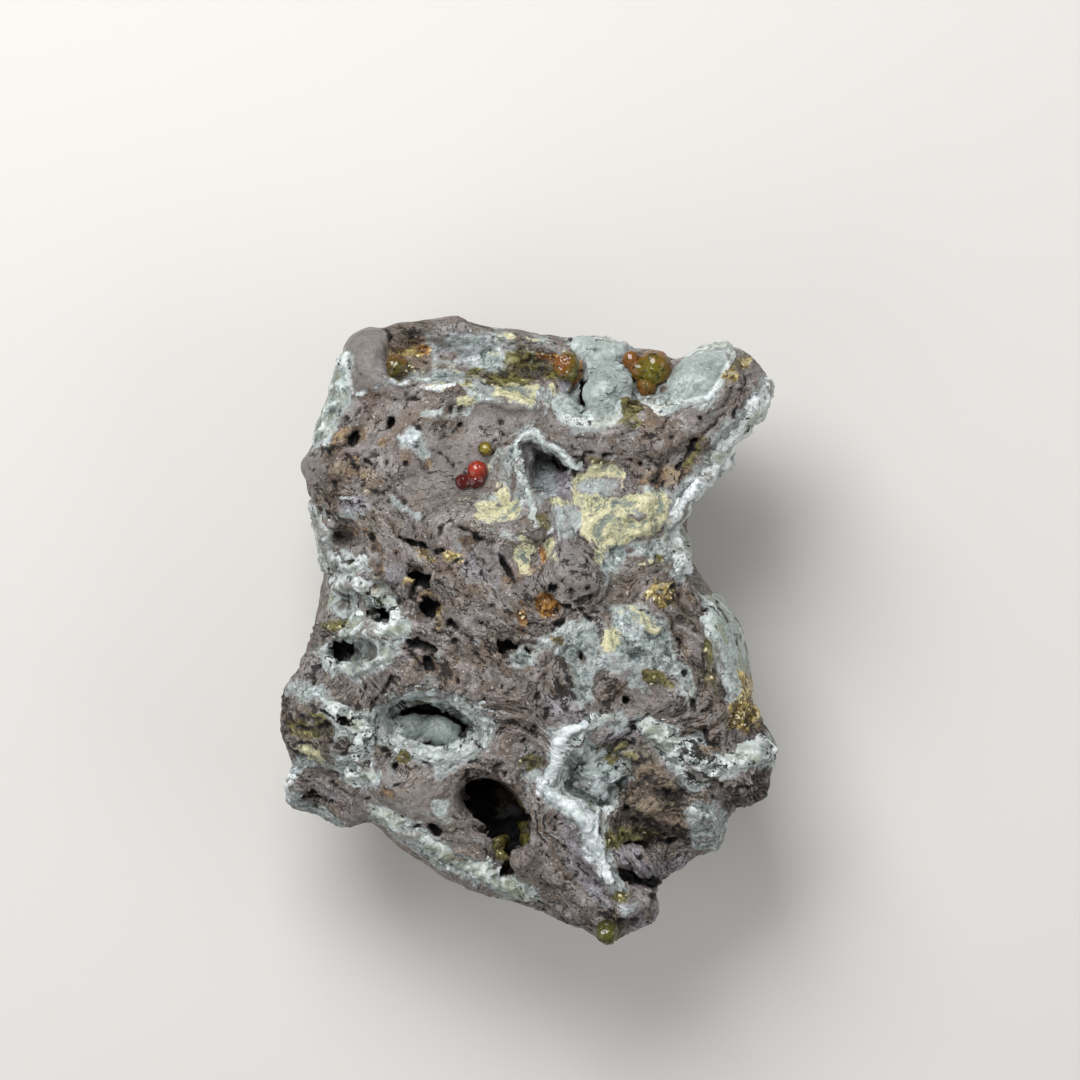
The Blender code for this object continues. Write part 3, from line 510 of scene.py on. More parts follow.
    Patch(R, Disc(-22, 13.2, 1.7, 0.7), 0.5), Patch(G, line(0.75, -13.6, 10.4, -11.6, 9.8, -9.6, 9.8), 0.6),
    Patch(G, Disc(-15.2, 6.2, 1.1, 0.8, -30), 0.55), Patch(G, Disc(-11.6, 2.3, 0.45, 0.9), 0.55),
    Patch(R, Disc(-13.4, 5.2, 1.2, 0.5), 0.6), Patch(L, Disc(-17, 7.6, 1.3, 1), 0.6),
    Patch(P, Disc(-10.9, -2.8, 0.9, 0.9), 0.7), Patch(L, Disc(-4.2, 6.3, 0.6, 0.6), 0.8),
    Patch(L, Disc(-5.6, 9, 2.2, 2), 0.3), Patch(R, Disc(-14, -4.6, 0.8, 0.4), 0.8),
    Patch(R, Disc(-9.6, -3.4, 0.6, 1.2, 20), 0.6), Patch(O, Disc(-24.8, 0.8, 1.8, 0.7), 0.7),
    Patch(P, loop(-25.9, 7.2, -22, 7.4, -19.4, 6.2, -16.8, 3, -15.2, 0.6, -16.8, -1.6, -17.4, -3.6,
        -20, -4.6, -22.4, -6.4, -25.4, -5, -27.6, -2.6, -24, -0.2, -24, 1.8, -26.3, 3), 0.85),
    # Lower left
    Patch(P, loop(-32, -6.4, -29, -6.6, -26.5, -7.4, -24, -9, -22, -10.5, -18.4, -10.4, -16, -8.2, -9, -8.6,
        -5.6, -10.4, -4.6, -13, -6.6, -14.4, -9.4, -14.6, -9.6, -17.6, -11.6, -18.6, -13.4, -16.4,
        -16.6, -14.8, -19, -14.2, -20, -12.8, -22, -15, -20.4, -17.6, -19, -18.8, -20, -20, -24.4, -19.4,
        -26, -17, -30.8, -18.4, -31, -16.4, -25.6, -16.8, -24.6, -13, -26.4, -10.6, -28, -8.8, -31.6, -8.4),
        0.85),
    Patch(B, loop(-31.8, -9.8, -28, -9.5, -25.8, -11.5, -25.6, -14.3, -29, -14.8, -31.8, -13.5), 0.4),
    Patch(O, Disc(-28.4, -12.2, 2.6, 1.6), 0.45),
    Patch(C, loop(-29.4, -14.9, -26.8, -14.7, -26.1, -16.7, -28.2, -16.6)),
    Patch(S, Disc(-24.2, -14.8, 1.5, 1.7), 0.6),
    Patch(S, loop(-19, -20.6, -15, -19.6, -10, -19.8, -8.3, -20, -8.4, -23.4, -11, -24.6, -15.5, -24.5,
        -19, -22.5), 0.8),
    Patch(R, line(0.3, -19, -21.1, -17.6, -20.5, -16, -19.8), 0.8),
    Patch(P, Disc(-11.6, -22.6, 0.8, 1.4, 20)), Patch(P, Disc(-12.6, -23.9, 1.5, 0.5, -15)),
    Patch(P, Disc(-12.8, -24.4, 1.4, 0.6, -10), 0.7), Patch(R, Disc(-8.2, -28.7, 2.3, 0.8, -8), 0.6),
    Patch(P, line(1.4, -19.4, -23.6, -17, -25.2, -13.4, -27.4, -10, -30, -5.6, -31.2, -3.4, -32.8, 0, -34),
        0.8),
    Patch(W, line(0.55, -31, -17.8, -31, -19.8, -31.9, -22.2), 0.85),
    Patch(P, loop(-32.6, -21.4, -30.4, -20, -29.6, -22.4, -26, -23.4, -24, -25, -26, -26, -31, -24), 0.6),
    # Lower middle and right
    Patch(L, loop(2.4, -8, 6, -8, 7.6, -10.2, 6.5, -11.8, 3.5, -11.6, 2.3, -9.6), 0.5),
    Patch(O, Disc(0.3, -16.8, 1.7, 0.9), 0.6), Patch(P, Disc(0.2, -18.8, 1.2, 1.6), 0.5),
    Patch(P, loop(2.6, -12.2, 7.2, -12, 8, -10.2, 12, -10.6, 12.4, -12, 9, -12.2, 7.6, -13, 8.6, -14.6,
        12.4, -16, 13.6, -19, 11.6, -21, 11.6, -23, 9.6, -23.6, 10.2, -28, 11.6, -32, 12.8, -34, 11, -34,
        8.4, -29.6, 6, -24.6, 3, -22.6, 0.8, -19.4, 3, -16.6)),
    Patch(L, Disc(11.2, -13.2, 2.2, 1.3), 0.5),
    Patch(W, line(0.6, 7.1, -12, 5, -12.6, 3.4, -14.4, 3.3, -17, 1.6, -19.6, 2.4, -21.2, 5.2, -22.6,
        7.3, -25.2, 8.6, -28.8, 10.4, -32.2), 0.95),
    Patch(W, loop(6.4, -23.3, 8.6, -23.4, 9, -26, 9.3, -28.4, 10.3, -31.5, 9.5, -31.3, 8.2, -29,
        7.3, -26.3), 0.95),
    Patch(P, loop(3.9, -18.8, 4.3, -16.6, 5.4, -15.6, 8.4, -15.6, 9.6, -17.2, 12.2, -18, 11, -19.2,
        12, -20.4, 10.2, -20.6, 10.6, -22.4, 8.4, -22.2, 5.6, -21.2), 0.95),
    Patch(S, Disc(6.6, -18, 2.2, 0.7, -30), 0.7),
    Patch(W, loop(8.6, -16.4, 10.6, -16.2, 9.8, -17.2, 12.4, -17.6, 10.8, -18.6, 12.8, -19.6, 10.8, -20,
        11, -21.8, 9.2, -20.8, 8.6, -18.6), 0.7),
    Patch(O, loop(8.8, -14.4, 12, -13.8, 16, -14.5, 17, -16.2, 12, -16.4, 9.5, -15.6), 0.4),
    Patch(B, loop(12.4, -16, 17, -16.5, 19.5, -19.5, 21, -21, 20.3, -24.5, 20.8, -26.8, 16, -27,
        10.5, -26.5, 9.9, -23.8, 11.3, -22.6, 11.8, -20.5, 13.3, -19), 0.95),
    Patch(O, Disc(10.9, -26.7, 1.2, 1.3), 0.75), Patch(O, line(0.6, 12, -26.2, 14, -26.3, 16.6, -27), 0.6),
    Patch(L, loop(11.5, -28.6, 13, -27.8, 14.5, -29, 16, -30.2, 20.5, -29.6, 19.5, -31.5, 17, -32,
        14.5, -31, 12.5, -31), 0.8),
    Patch(P, loop(15.2, -11.8, 18.3, -12.4, 19.6, -14.3, 22, -13.6, 22.6, -15.8, 26, -16.3, 29, -15,
        29.9, -16.8, 27.5, -17.6, 24, -18, 21.5, -19.5, 19.8, -18.5, 19, -16.5, 17, -14.5)),
    Patch(P, loop(21, -21.5, 24.5, -22, 25.9, -25, 26, -28, 23.5, -29.4, 21.5, -28.8, 21.2, -26, 20.6, -23),
        0.75),
    Patch(P, loop(30.4, -13.5, 32.4, -14.6, 32.6, -16.6, 31, -17.9, 30.2, -16), 0.95),
    Patch(R, Disc(23.6, -15, 0.9, 0.6), 0.7),
    Patch(L, loop(4.5, -23.5, 6.2, -26.5, 8, -30, 9.5, -33, 12, -35.5, 9.5, -36, 6, -32, 4.8, -27), 0.5),
    Patch(L, loop(11, -34.5, 14, -34.2, 16.2, -35.6, 17.6, -37, 15, -38.4, 11.5, -37.5), 0.6),
    Patch(P, Disc(13, -35.8, 2, 0.8, 10), 0.5), Patch(O, Disc(12.2, -34.3, 1.2, 0.4), 0.5),
    Patch(O, Disc(10.4, -39.6, 1.8, 1.4), 0.7), Patch(O, Disc(-3.4, -27.4, 1.2, 1.2), 0.7),
    Patch(O, Disc(-0.9, -25.8, 0.7, 1.4), 0.7), Patch(G, Disc(-1.2, -22.6, 0.8, 0.9), 0.5),
)

# The sharp edge of the deep black cavity
CAVITY = loop(-8, -19.8, -5.2, -19.5, -3.7, -20.2, -2.5, -21.5, -1.3, -23, -0.2, -24.2, -0.3, -26.4,
              -1.2, -28, -2.6, -28.4, -3, -31.4, -3.4, -31.4, -3.2, -29, -3.5, -27, -5, -25.8, -7, -24.6,
              -8.4, -23)

PITS = (
    # Top left
    Pit(Disc(-17.9, 27.1, 0.5, 0.75), 1.6), Pit(Disc(-10.3, 29.1, 0.3, 0.6, 25), 1),
    Pit(Disc(-9.2, 26.6, 0.75, 0.3, 50), 1), Pit(Disc(-14.3, 26.4, 0.45, 0.3), 0.9),
    Pit(line(0.16, -17.8, 30.1, -16.8, 29.8), 0.7, 0.2), Pit(Disc(-10.6, 25.5, 0.6, 0.22, -40), 0.8),
    Pit(Disc(-3.7, 27.3, 0.45, 0.35), 0.9), Pit(Disc(-7.6, 24.3, 0.35, 0.16, -40), 0.6),
    Pit(Disc(-22.7, 25.1, 0.75, 1, -20), 1.6), Pit(line(0.22, -27, 23.9, -24.6, 24.2, -23, 24.6), 0.7, 0.3),
    Pit(line(0.26, -23.8, 23.4, -22.9, 22.5, -22.3, 21), 1.1, 0.3), Pit(Disc(-12.3, 23.6, 0.35, 0.22), 0.8),
    Pit(line(0.2, -12, 23.4, -10.4, 22.6, -9.5, 21.2), 0.8, 0.3),
    Pit(line(0.2, -18.3, 18.9, -17, 17.9, -15.9, 16.7), 0.9, 0.3),
    Pit(line(0.25, -20.4, 18.6, -19.4, 17.4), 0.7, 0.4), Pit(Disc(-25.2, 19.1, 0.22, 0.6), 0.8),
    Pit(Disc(-16, 21.8, 0.5, 0.3, -40), 0.9), Pit(Disc(-18.3, 22, 0.22, 0.4), 0.7),
    Pit(line(0.4, -18.7, 39.3, -18.2, 38.6, -17.8, 37.8), 1.4, 0.4),
    Pit(line(0.16, -19.9, 21.4, -21, 22.2, -21.4, 23), 0.6, 0.3), Pit(Disc(-28, 21.1, 0.25, 0.15), 0.6),
    Pit(Disc(-26, 21.3, 0.3, 0.15), 0.6),
    # Arch cave and arm
    Pit(loop(-1.6, 24.6, 0.2, 24.9, 1, 23.9, 2.4, 22.9, 4, 22.2, 5.4, 20.9, 4.4, 20.6, 2.6, 21.4, 1.4, 22.2,
        0.4, 22.6, -0.9, 22.8), 1.3, 1, 0.45),
    Pit(line(0.34, 2.9, 22.4, 3.8, 21.7, 5, 21.2), 1.2),
    Pit(line(0.16, 6.1, 25.5, 7.4, 25.2, 8.8, 25.1), 0.9, 0.25),
    Pit(line(0.14, 4.7, 24.9, 5.4, 24.1, 6.2, 23.6), 0.8, 0.25),
    Pit(line(0.24, 7.2, 23.4, 9.2, 23.1, 12, 23, 13, 22.1, 14.4, 21.8), 1.2, 0.3),
    Pit(line(0.2, 16.2, 26.1, 17.2, 26.6, 18, 27.5), 1, 0.3),
    Pit(line(0.3, 19, 21.3, 20, 22.6, 21, 23.8, 21.7, 24.9), 1.5, 0.3),
    Pit(Disc(22.1, 27.8, 0.3, 0.3), 0.9), Pit(Disc(16.6, 21.9, 0.4, 0.22), 1),
    Pit(Disc(16.4, 19.5, 0.5, 0.3), 1.2), Pit(line(0.15, 26.2, 28, 26.6, 28.6, 27, 29.2), 0.8, 0.25),
    Pit(line(0.12, 26.6, 31.1, 27.2, 31.5), 0.6, 0.2), Pit(line(0.14, 28.2, 32.4, 28.1, 32.9), 0.6, 0.2),
    Pit(line(0.13, 10, 26.3, 12, 26.4, 14, 26.1, 15.2, 25.2), 0.5, 0.2, 0.6),
    Pit(loop(7.2, 33.4, 7.7, 32, 7.6, 30.4, 7.3, 28.4, 6.6, 28.2, 6.6, 30, 6.8, 31.8), 1.6, 0.5, 0.85),
    Pit(Disc(13.2, 32.5, 0.7, 0.6), 0.8, 0.6, 0.4), Pit(Disc(15.8, 25.3, 0.5, 0.12, 10), 0.5),
    # Middle left
    Pit(line(0.16, -27, 16.3, -25.8, 15.2, -25.1, 14.1), 0.9, 0.3),
    Pit(loop(-25.4, 12.7, -24.3, 12.9, -23.4, 12.3, -22.8, 12, -24, 11.4, -25.2, 11.8), 1, 0.6, 0.55),
    Pit(line(0.14, -23.7, 9.2, -22.8, 9.5, -22.1, 9.2), 0.6, 0.25),
    Pit(line(0.36, -20.4, 12.8, -20.1, 11.8), 1),
    Pit(line(0.36, -16.8, 12.4, -15.4, 12, -13.9, 11.3), 1.3, 0.3),
    Pit(line(0.32, -13.9, 11.1, -12.2, 10.7, -11, 10.6), 1.1, 0.3), Pit(Disc(-9.4, 9.4, 0.7, 0.3, 25), 0.9),
    Pit(loop(-15.9, 7.5, -14, 7.7, -12.8, 7.4, -12.6, 6.5, -13.2, 5.7, -14.2, 6.2, -15.6, 5.2, -15.8, 5.8,
        -14.6, 6.6), 2.2, 0.5),
    Pit(loop(-13.9, 4.6, -12.8, 4.2, -11.9, 3.8, -12, 2.4, -12.5, 1.8, -13.4, 2.4, -13.9, 3.2), 2.4, 0.5),
    Pit(Disc(-16.9, 6.4, 0.4, 0.22), 0.9), Pit(Disc(-18.4, 6.4, 0.25, 0.2), 0.7),
    Pit(loop(-10.8, 1.6, -10, 1.7, -9.6, 1.1, -9, 0.6, -9.4, 0.1, -10, 0.9, -10.7, 1), 1.2, 0.3),
    Pit(line(0.18, -6.7, 1.4, -5.8, 1.1, -4.6, 0.5), 0.9, 0.3), Pit(Disc(-4.8, 3.6, 0.5, 0.3, 10), 0.9),
    Pit(Disc(-7.4, -0.8, 0.5, 0.3, -10), 0.9), Pit(line(0.16, -12.4, 0.4, -11.4, 0), 0.8, 0.3),
    Pit(Disc(-9.7, -1.1, 0.5, 0.3, 30), 0.8), Pit(Disc(-6.1, 7.7, 0.16, 0.45), 0.7),
    Pit(Disc(-8, 9.1, 0.25, 0.35), 0.8), Pit(Disc(-15.2, 3.1, 0.16, 0.6, -10), 0.8),
    Pit(Disc(-16.8, 4.1, 0.2, 0.4, 20), 0.8),
    Pit(line(0.3, -8.8, 13.9, -7.4, 13.1, -6.2, 12.2, -4.7, 11.5), 1.2, 0.3),
    Pit(line(0.14, -10.8, 16.6, -10.2, 15.2, -9.8, 14), 0.8, 0.25),
    Pit(loop(-3.9, 10, -3.2, 9.8, -2.6, 8.6, -2, 7.4, -1.7, 6.4, -2.2, 7, -3.3, 8.5), 1.2, 0.25),
    Pit(Disc(-11.5, 12.8, 0.25, 0.2), 0.6), Pit(Disc(-17.2, 10.3, 0.3, 0.4), 0.8),
    Pit(Disc(-15.1, 9.6, 0.2, 0.15), 0.6),
    Pit(loop(-4.2, -0.9, -3, -1.2, -1.9, -1.6, -0.9, -0.8, -1.8, -2, -2.8, -1.9, -3.4, -2.9, -4, -2.4), 1.8,
        0.4),
    Pit(Disc(-19.4, 2.5, 0.85, 0.75, -30), 2.2, 0.4), Pit(Disc(-18.5, 1.3, 0.5, 0.5), 1, 0.5, 0.5),
    Pit(loop(-25.8, -2.2, -25.2, -1.3, -24, -1.1, -23.3, -1.2, -23, -2, -23.6, -2.9, -25, -3.2), 2, 0.5),
    Pit(Disc(-23.4, 4.3, 2, 2.2, -20), 1.3, 1.5, 0.35), Pit(Disc(-19.1, 2.1, 1.7, 1.6), 1.1, 1.1, 0.5),
    Pit(Disc(-22.4, -2.6, 4.4, 2, 8), 1.3, 1.2, 0.35), Pit(Disc(6.2, 30.4, 1.3, 2.6, 8), 0.9, 1.1, 0.5),
    Pit(loop(-15.8, -1, -14.4, -1.1, -12.2, -2, -11.8, -2.8, -12.6, -2.9, -14, -2, -15.6, -1.7), 1.3, 0.3),
    Pit(line(0.2, -16.3, -2.1, -15.4, -2.4, -14.7, -2.6), 0.8, 0.3),
    Pit(loop(-13.6, -3.2, -12.7, -3.2, -12, -4.4, -12, -4.9, -13.2, -4.6, -13.6, -3.8), 1.3, 0.3),
    Pit(line(0.24, -11.3, -4.6, -10.2, -5.6), 0.9, 0.3), Pit(Disc(-9.2, -6.2, 0.25, 0.4), 0.8),
    Pit(Disc(-14.2, -4.8, 0.5, 0.2), 0.7),
    Pit(line(0.24, -17.9, -5.6, -18.7, -7, -19.5, -8.4, -20.3, -9.4), 1.5, 0.3),
    Pit(line(0.16, -17.8, -5.6, -16.5, -6.1), 0.9, 0.25), Pit(Disc(-21.1, -7.3, 0.22, 0.75, -15), 0.9),
    # Middle and right
    Pit(Disc(3, 6, 0.8, 0.5), 1.3), Pit(Disc(3.8, 1.5, 0.8, 0.45), 1.3),
    Pit(line(0.3, 4.6, 3.6, 5.4, 3, 6.6, 2.8, 8, 1.9), 1.1, 0.3),
    Pit(line(0.2, 6.8, 10.4, 7.6, 9.7, 8.1, 8.5, 8.1, 7.2), 0.9, 0.25), Pit(Disc(5.6, 7.9, 0.4, 0.22), 0.7),
    Pit(Disc(5.6, 5.5, 0.3, 0.5), 0.8), Pit(Disc(7.6, 5.9, 0.35, 0.2), 0.7),
    Pit(line(0.13, 5.2, 4.4, 6.4, 3.6, 8, 3.9, 8.3, 4.9), 0.6, 0.2), Pit(Disc(8.1, 4.6, 0.3, 0.4), 0.8),
    Pit(line(0.14, 14.4, 3, 16.2, 2.2, 17.6, 1.8), 0.6, 0.25), Pit(Disc(18.8, 6, 0.35, 0.3), 0.9),
    Pit(Disc(19.7, 5, 0.3, 0.5), 1), Pit(line(0.17, 18.6, 1.6, 18.4, 0.6, 18.7, -0.5, 20, -1.8), 1, 0.3),
    Pit(Disc(23, 3, 0.35, 0.25), 0.7), Pit(Disc(24.3, 3.2, 0.16, 0.3), 0.7),
    Pit(Disc(20, -5.2, 0.3, 0.4), 0.8), Pit(Disc(22.5, -3, 0.22, 0.9), 0.8),
    Pit(Disc(6.7, -2.8, 0.35, 0.5, 20), 1.1), Pit(Disc(0, -2.3, 0.6, 0.3, -30), 1.1),
    Pit(Disc(1.6, -5.8, 0.8, 0.16, 50), 0.7), Pit(Disc(12.5, -8.7, 0.55, 0.35, -60), 1.1),
    Pit(Disc(10.9, -6.2, 0.5, 0.12, 20), 0.5), Pit(Disc(22.4, -8.2, 0.2, 0.2), 0.6),
    Pit(Disc(22.8, -13, 0.3, 1.1), 0.9), Pit(Disc(23.8, -14.4, 0.7, 0.35, -50), 1),
    Pit(Disc(13.4, -12.4, 0.4, 0.4), 0.8), Pit(Disc(26.8, -20.7, 0.5, 0.4, 30), 1),
    Pit(Disc(29.2, -21.1, 0.45, 0.3), 1), Pit(Disc(30.4, -20.5, 0.4, 0.16, 40), 0.7),
    Pit(Disc(24.9, -19.4, 0.3, 0.3), 0.8), Pit(Disc(21.2, -9.4, 0.4, 0.9, 10), 0.9),
    # Oval hollow, dark cavity and the lower left
    Pit(loop(-17.2, -11.3, -16.9, -10.5, -15, -9.8, -13, -9.6, -11.6, -10.2, -9.2, -11.2, -8.2, -12.4,
        -8.4, -13, -9.4, -12.2, -10.8, -11.1, -13, -10.8, -15.4, -10.7, -16.6, -11.4), 2.2, 0.5, 0.8),
    Pit(Disc(-13.2, -14.7, 0.5, 0.35), 1.3),
    Pit(loop(-24.9, -10.6, -23.6, -11.2, -22.6, -11.9, -24, -12, -24.8, -11.4), 1.2, 0.3),
    Pit(line(0.22, -28.2, -9.4, -26.8, -10, -25.4, -11), 0.9, 0.3),
    Pit(line(0.2, -31, -10.8, -29.4, -10.9, -28.4, -11.4), 0.8, 0.25),
    Pit(line(0.16, -30, -12.2, -28, -12.4, -26, -12.1), 0.7, 0.25),
    Pit(line(0.16, -30, -14.4, -28, -14.4, -25.6, -14.2), 0.7, 0.25),
    Pit(line(0.3, -19.4, -14.8, -18.6, -15.5, -18, -16), 1.2, 0.3), Pit(Disc(-17.4, -17.2, 0.5, 0.7), 1.2),
    Pit(line(0.14, -17.6, -20, -16.2, -19.4), 0.6, 0.25),
    Pit(line(0.13, -24.8, -13.6, -23.6, -13.8, -23.2, -14.8, -23.8, -15.8), 0.7, 0.25),
    Pit(Disc(-13.2, -17, 0.6, 0.16, -35), 0.7), Pit(Disc(-12.2, -25.6, 1.3, 0.45, -20), 1.5),
    Pit(Disc(-14.6, -25.1, 0.4, 0.3), 0.9), Pit(Disc(-28.2, -20.8, 0.7, 0.5), 1.2),
    Pit(line(0.3, -29.2, -21.4, -27.4, -21.6, -25.6, -22), 1.2, 0.4),
    Pit(line(0.22, -22.2, -21.5, -21, -21.7), 0.8, 0.3), Pit(line(0.2, -26, -19.4, -25, -20), 0.7, 0.3),
    Pit(line(0.14, -8.6, -15.6, -8, -14.6, -6.8, -14.4, -6, -15.2), 0.6, 0.25),
    Pit(line(0.16, -7.6, -16.6, -6.4, -16.6), 0.6, 0.25), Pit(CAVITY, 5, 0.4, torn=2.4),
    Pit(line(0.25, -7.9, -19.9, -8.2, -18.9, -7.6, -17.9), 0.9, 0.3),
    Pit(line(0.16, -9.6, -23.8, -9.1, -24), 0.6, 0.3), Pit(Disc(-2.9, -18.4, 0.5, 0.16, -40), 0.7),
    Pit(line(0.16, -8, -19.4, -7.4, -18.2), 0.7, 0.3), Pit(line(0.15, -7, -27.6, -5.8, -28.8), 0.7, 0.25),
    # Lower right
    Pit(line(0.4, 12.4, -27.4, 14, -27.4, 16, -27.3, 19, -27.1), 1.8, 0.4),
    Pit(Disc(12.2, -22.8, 0.8, 0.5), 1.2),
    Pit(loop(11.8, -31.4, 13.2, -31.2, 14.4, -32, 17, -32.2, 16.6, -33.2, 15, -32.9, 12.4, -32.4), 1.6,
        0.4),
    Pit(line(0.6, 5.4, -18.2, 6.8, -18.9, 8.6, -19.9), 0.5, 0.7, 0.3),
    Pit(Disc(14.8, -24.4, 0.9, 0.3, -10), 0.9),
    Pit(line(0.14, 1.6, -24, 2, -23.6, 3, -23.5, 3.6, -24.2, 3.4, -25.4), 0.7, 0.25),
    Pit(line(0.15, 4.6, -31.6, 5.6, -31.8, 6.2, -31.3), 0.7, 0.25), Pit(Disc(12, -37.4, 0.7, 0.4), 1.1),
    Pit(Disc(16.2, -34.2, 0.5, 0.4), 1), Pit(Disc(4.4, -27.6, 0.2, 0.4), 0.7),
    Pit(Disc(2, -20.9, 0.3, 0.5), 0.6, 0.3, 0.3), Pit(line(0.15, 0.2, -20.9, 1.2, -21.6), 0.8, 0.3),
    Pit(Disc(14.6, -29.2, 0.4, 0.3), 0.8), Pit(Disc(0.8, -12.2, 0.2, 0.5, 30), 0.7),
    Pit(Disc(-0.8, -13.8, 0.25, 0.6, -20), 0.8), Pit(Disc(2.2, -10.6, 0.3, 0.8, -10), 0.8),
    Pit(Disc(15.2, -18.8, 0.6, 0.3), 0.8),
)

# Olive and green glassy beads too small to be pieces of their own
SMALL_BEADS = (
    Knob(Disc(-3.5, -27.3, 0.9, 0.9), 1), Knob(Disc(-1, -25.2, 0.8, 0.7), 0.9),
    Knob(Disc(-0.5, -26.9, 0.7, 0.8), 0.9), Knob(Disc(-3.6, -28.9, 0.7, 0.8), 0.8),
    Knob(Disc(-16.3, -16.1, 1, 0.9), 0.9), Knob(Disc(3.9, -1.2, 0.6, 0.4), 0.5),
    Knob(Disc(22.9, -1.8, 0.5, 1), 0.6), Knob(Disc(23.6, 35.2, 0.6, 0.4), 0.3),
)
# Thin rims that stand up round hollows of the bare rock
STONE_RIDGES = (
    Ridge(line(0.5, -17.8, 32.8, -16.5, 32.1, -12, 31.4, -9.3, 31.6, -6.6, 30.6, -2.8, 29.2, 2.3, 29.2),
        0.4),
    Ridge(line(0.6, 0.6, 5, 1.2, 5.8, 2.4, 6.2, 3.9, 5.6, 4.6, 4.2, 4.5, 2.2), 0.5),
    Ridge(line(0.5, -2.3, -3, -1.6, -1, 0.4, -0.6, 2.4, -1.4, 2.6, -3, 1.2, -4), 0.4),
)

# Stretches of the face where the grain and the drawn-out pores lie in one direction: middle x, y,
# reach, the grain's angle in degrees, and how flaky the rock is there
GRAIN = (
    (-14, 28, 9, -14, 0.35), (-21.2, 35.5, 3.5, 82, 0), (6, 7, 3.4, -60, 1.8), (-22, 18, 8, -30, 0.9),
    (-8, 5, 11, -33, 0.8), (12, 25, 8, 6, 0.6), (27, 30, 6, 46, 0.7), (14, -2, 8, -52, 0.8),
    (21, -4, 5, -78, 1.2), (-6, -18, 6, -62, 0.9), (1, -27, 7, -78, 0.7), (7, -34, 6, -50, 1),
    (17, -21, 7, -16, 1.4), (-27, -12, 6, -12, 1.1), (-13, -22, 5, -18, 0.3), (12, 15, 7, -6, 0.6),
    (-2, 18, 5, -62, 0.4), (8, -8, 5, -40, 1.1), (-8, 35, 9, -5, 0.8),
)
# Hollows and lumps that the grain wraps round: middle x, y, reach and strength in millimetres
WRAPS = (
    (-12.5, -12.3, 5.5, 5), (-20.5, 3, 4.5, 3), (7.5, -18.5, 4.5, 3.5), (2.5, 3.8, 3, 2.5),
    (2, 21.5, 3.5, -3), (-24.2, -14.8, 2.5, 2.5), (2.6, -24.8, 2.2, 2), (6.4, 6.5, 3, 2.5),
)


# The stone's own mesh

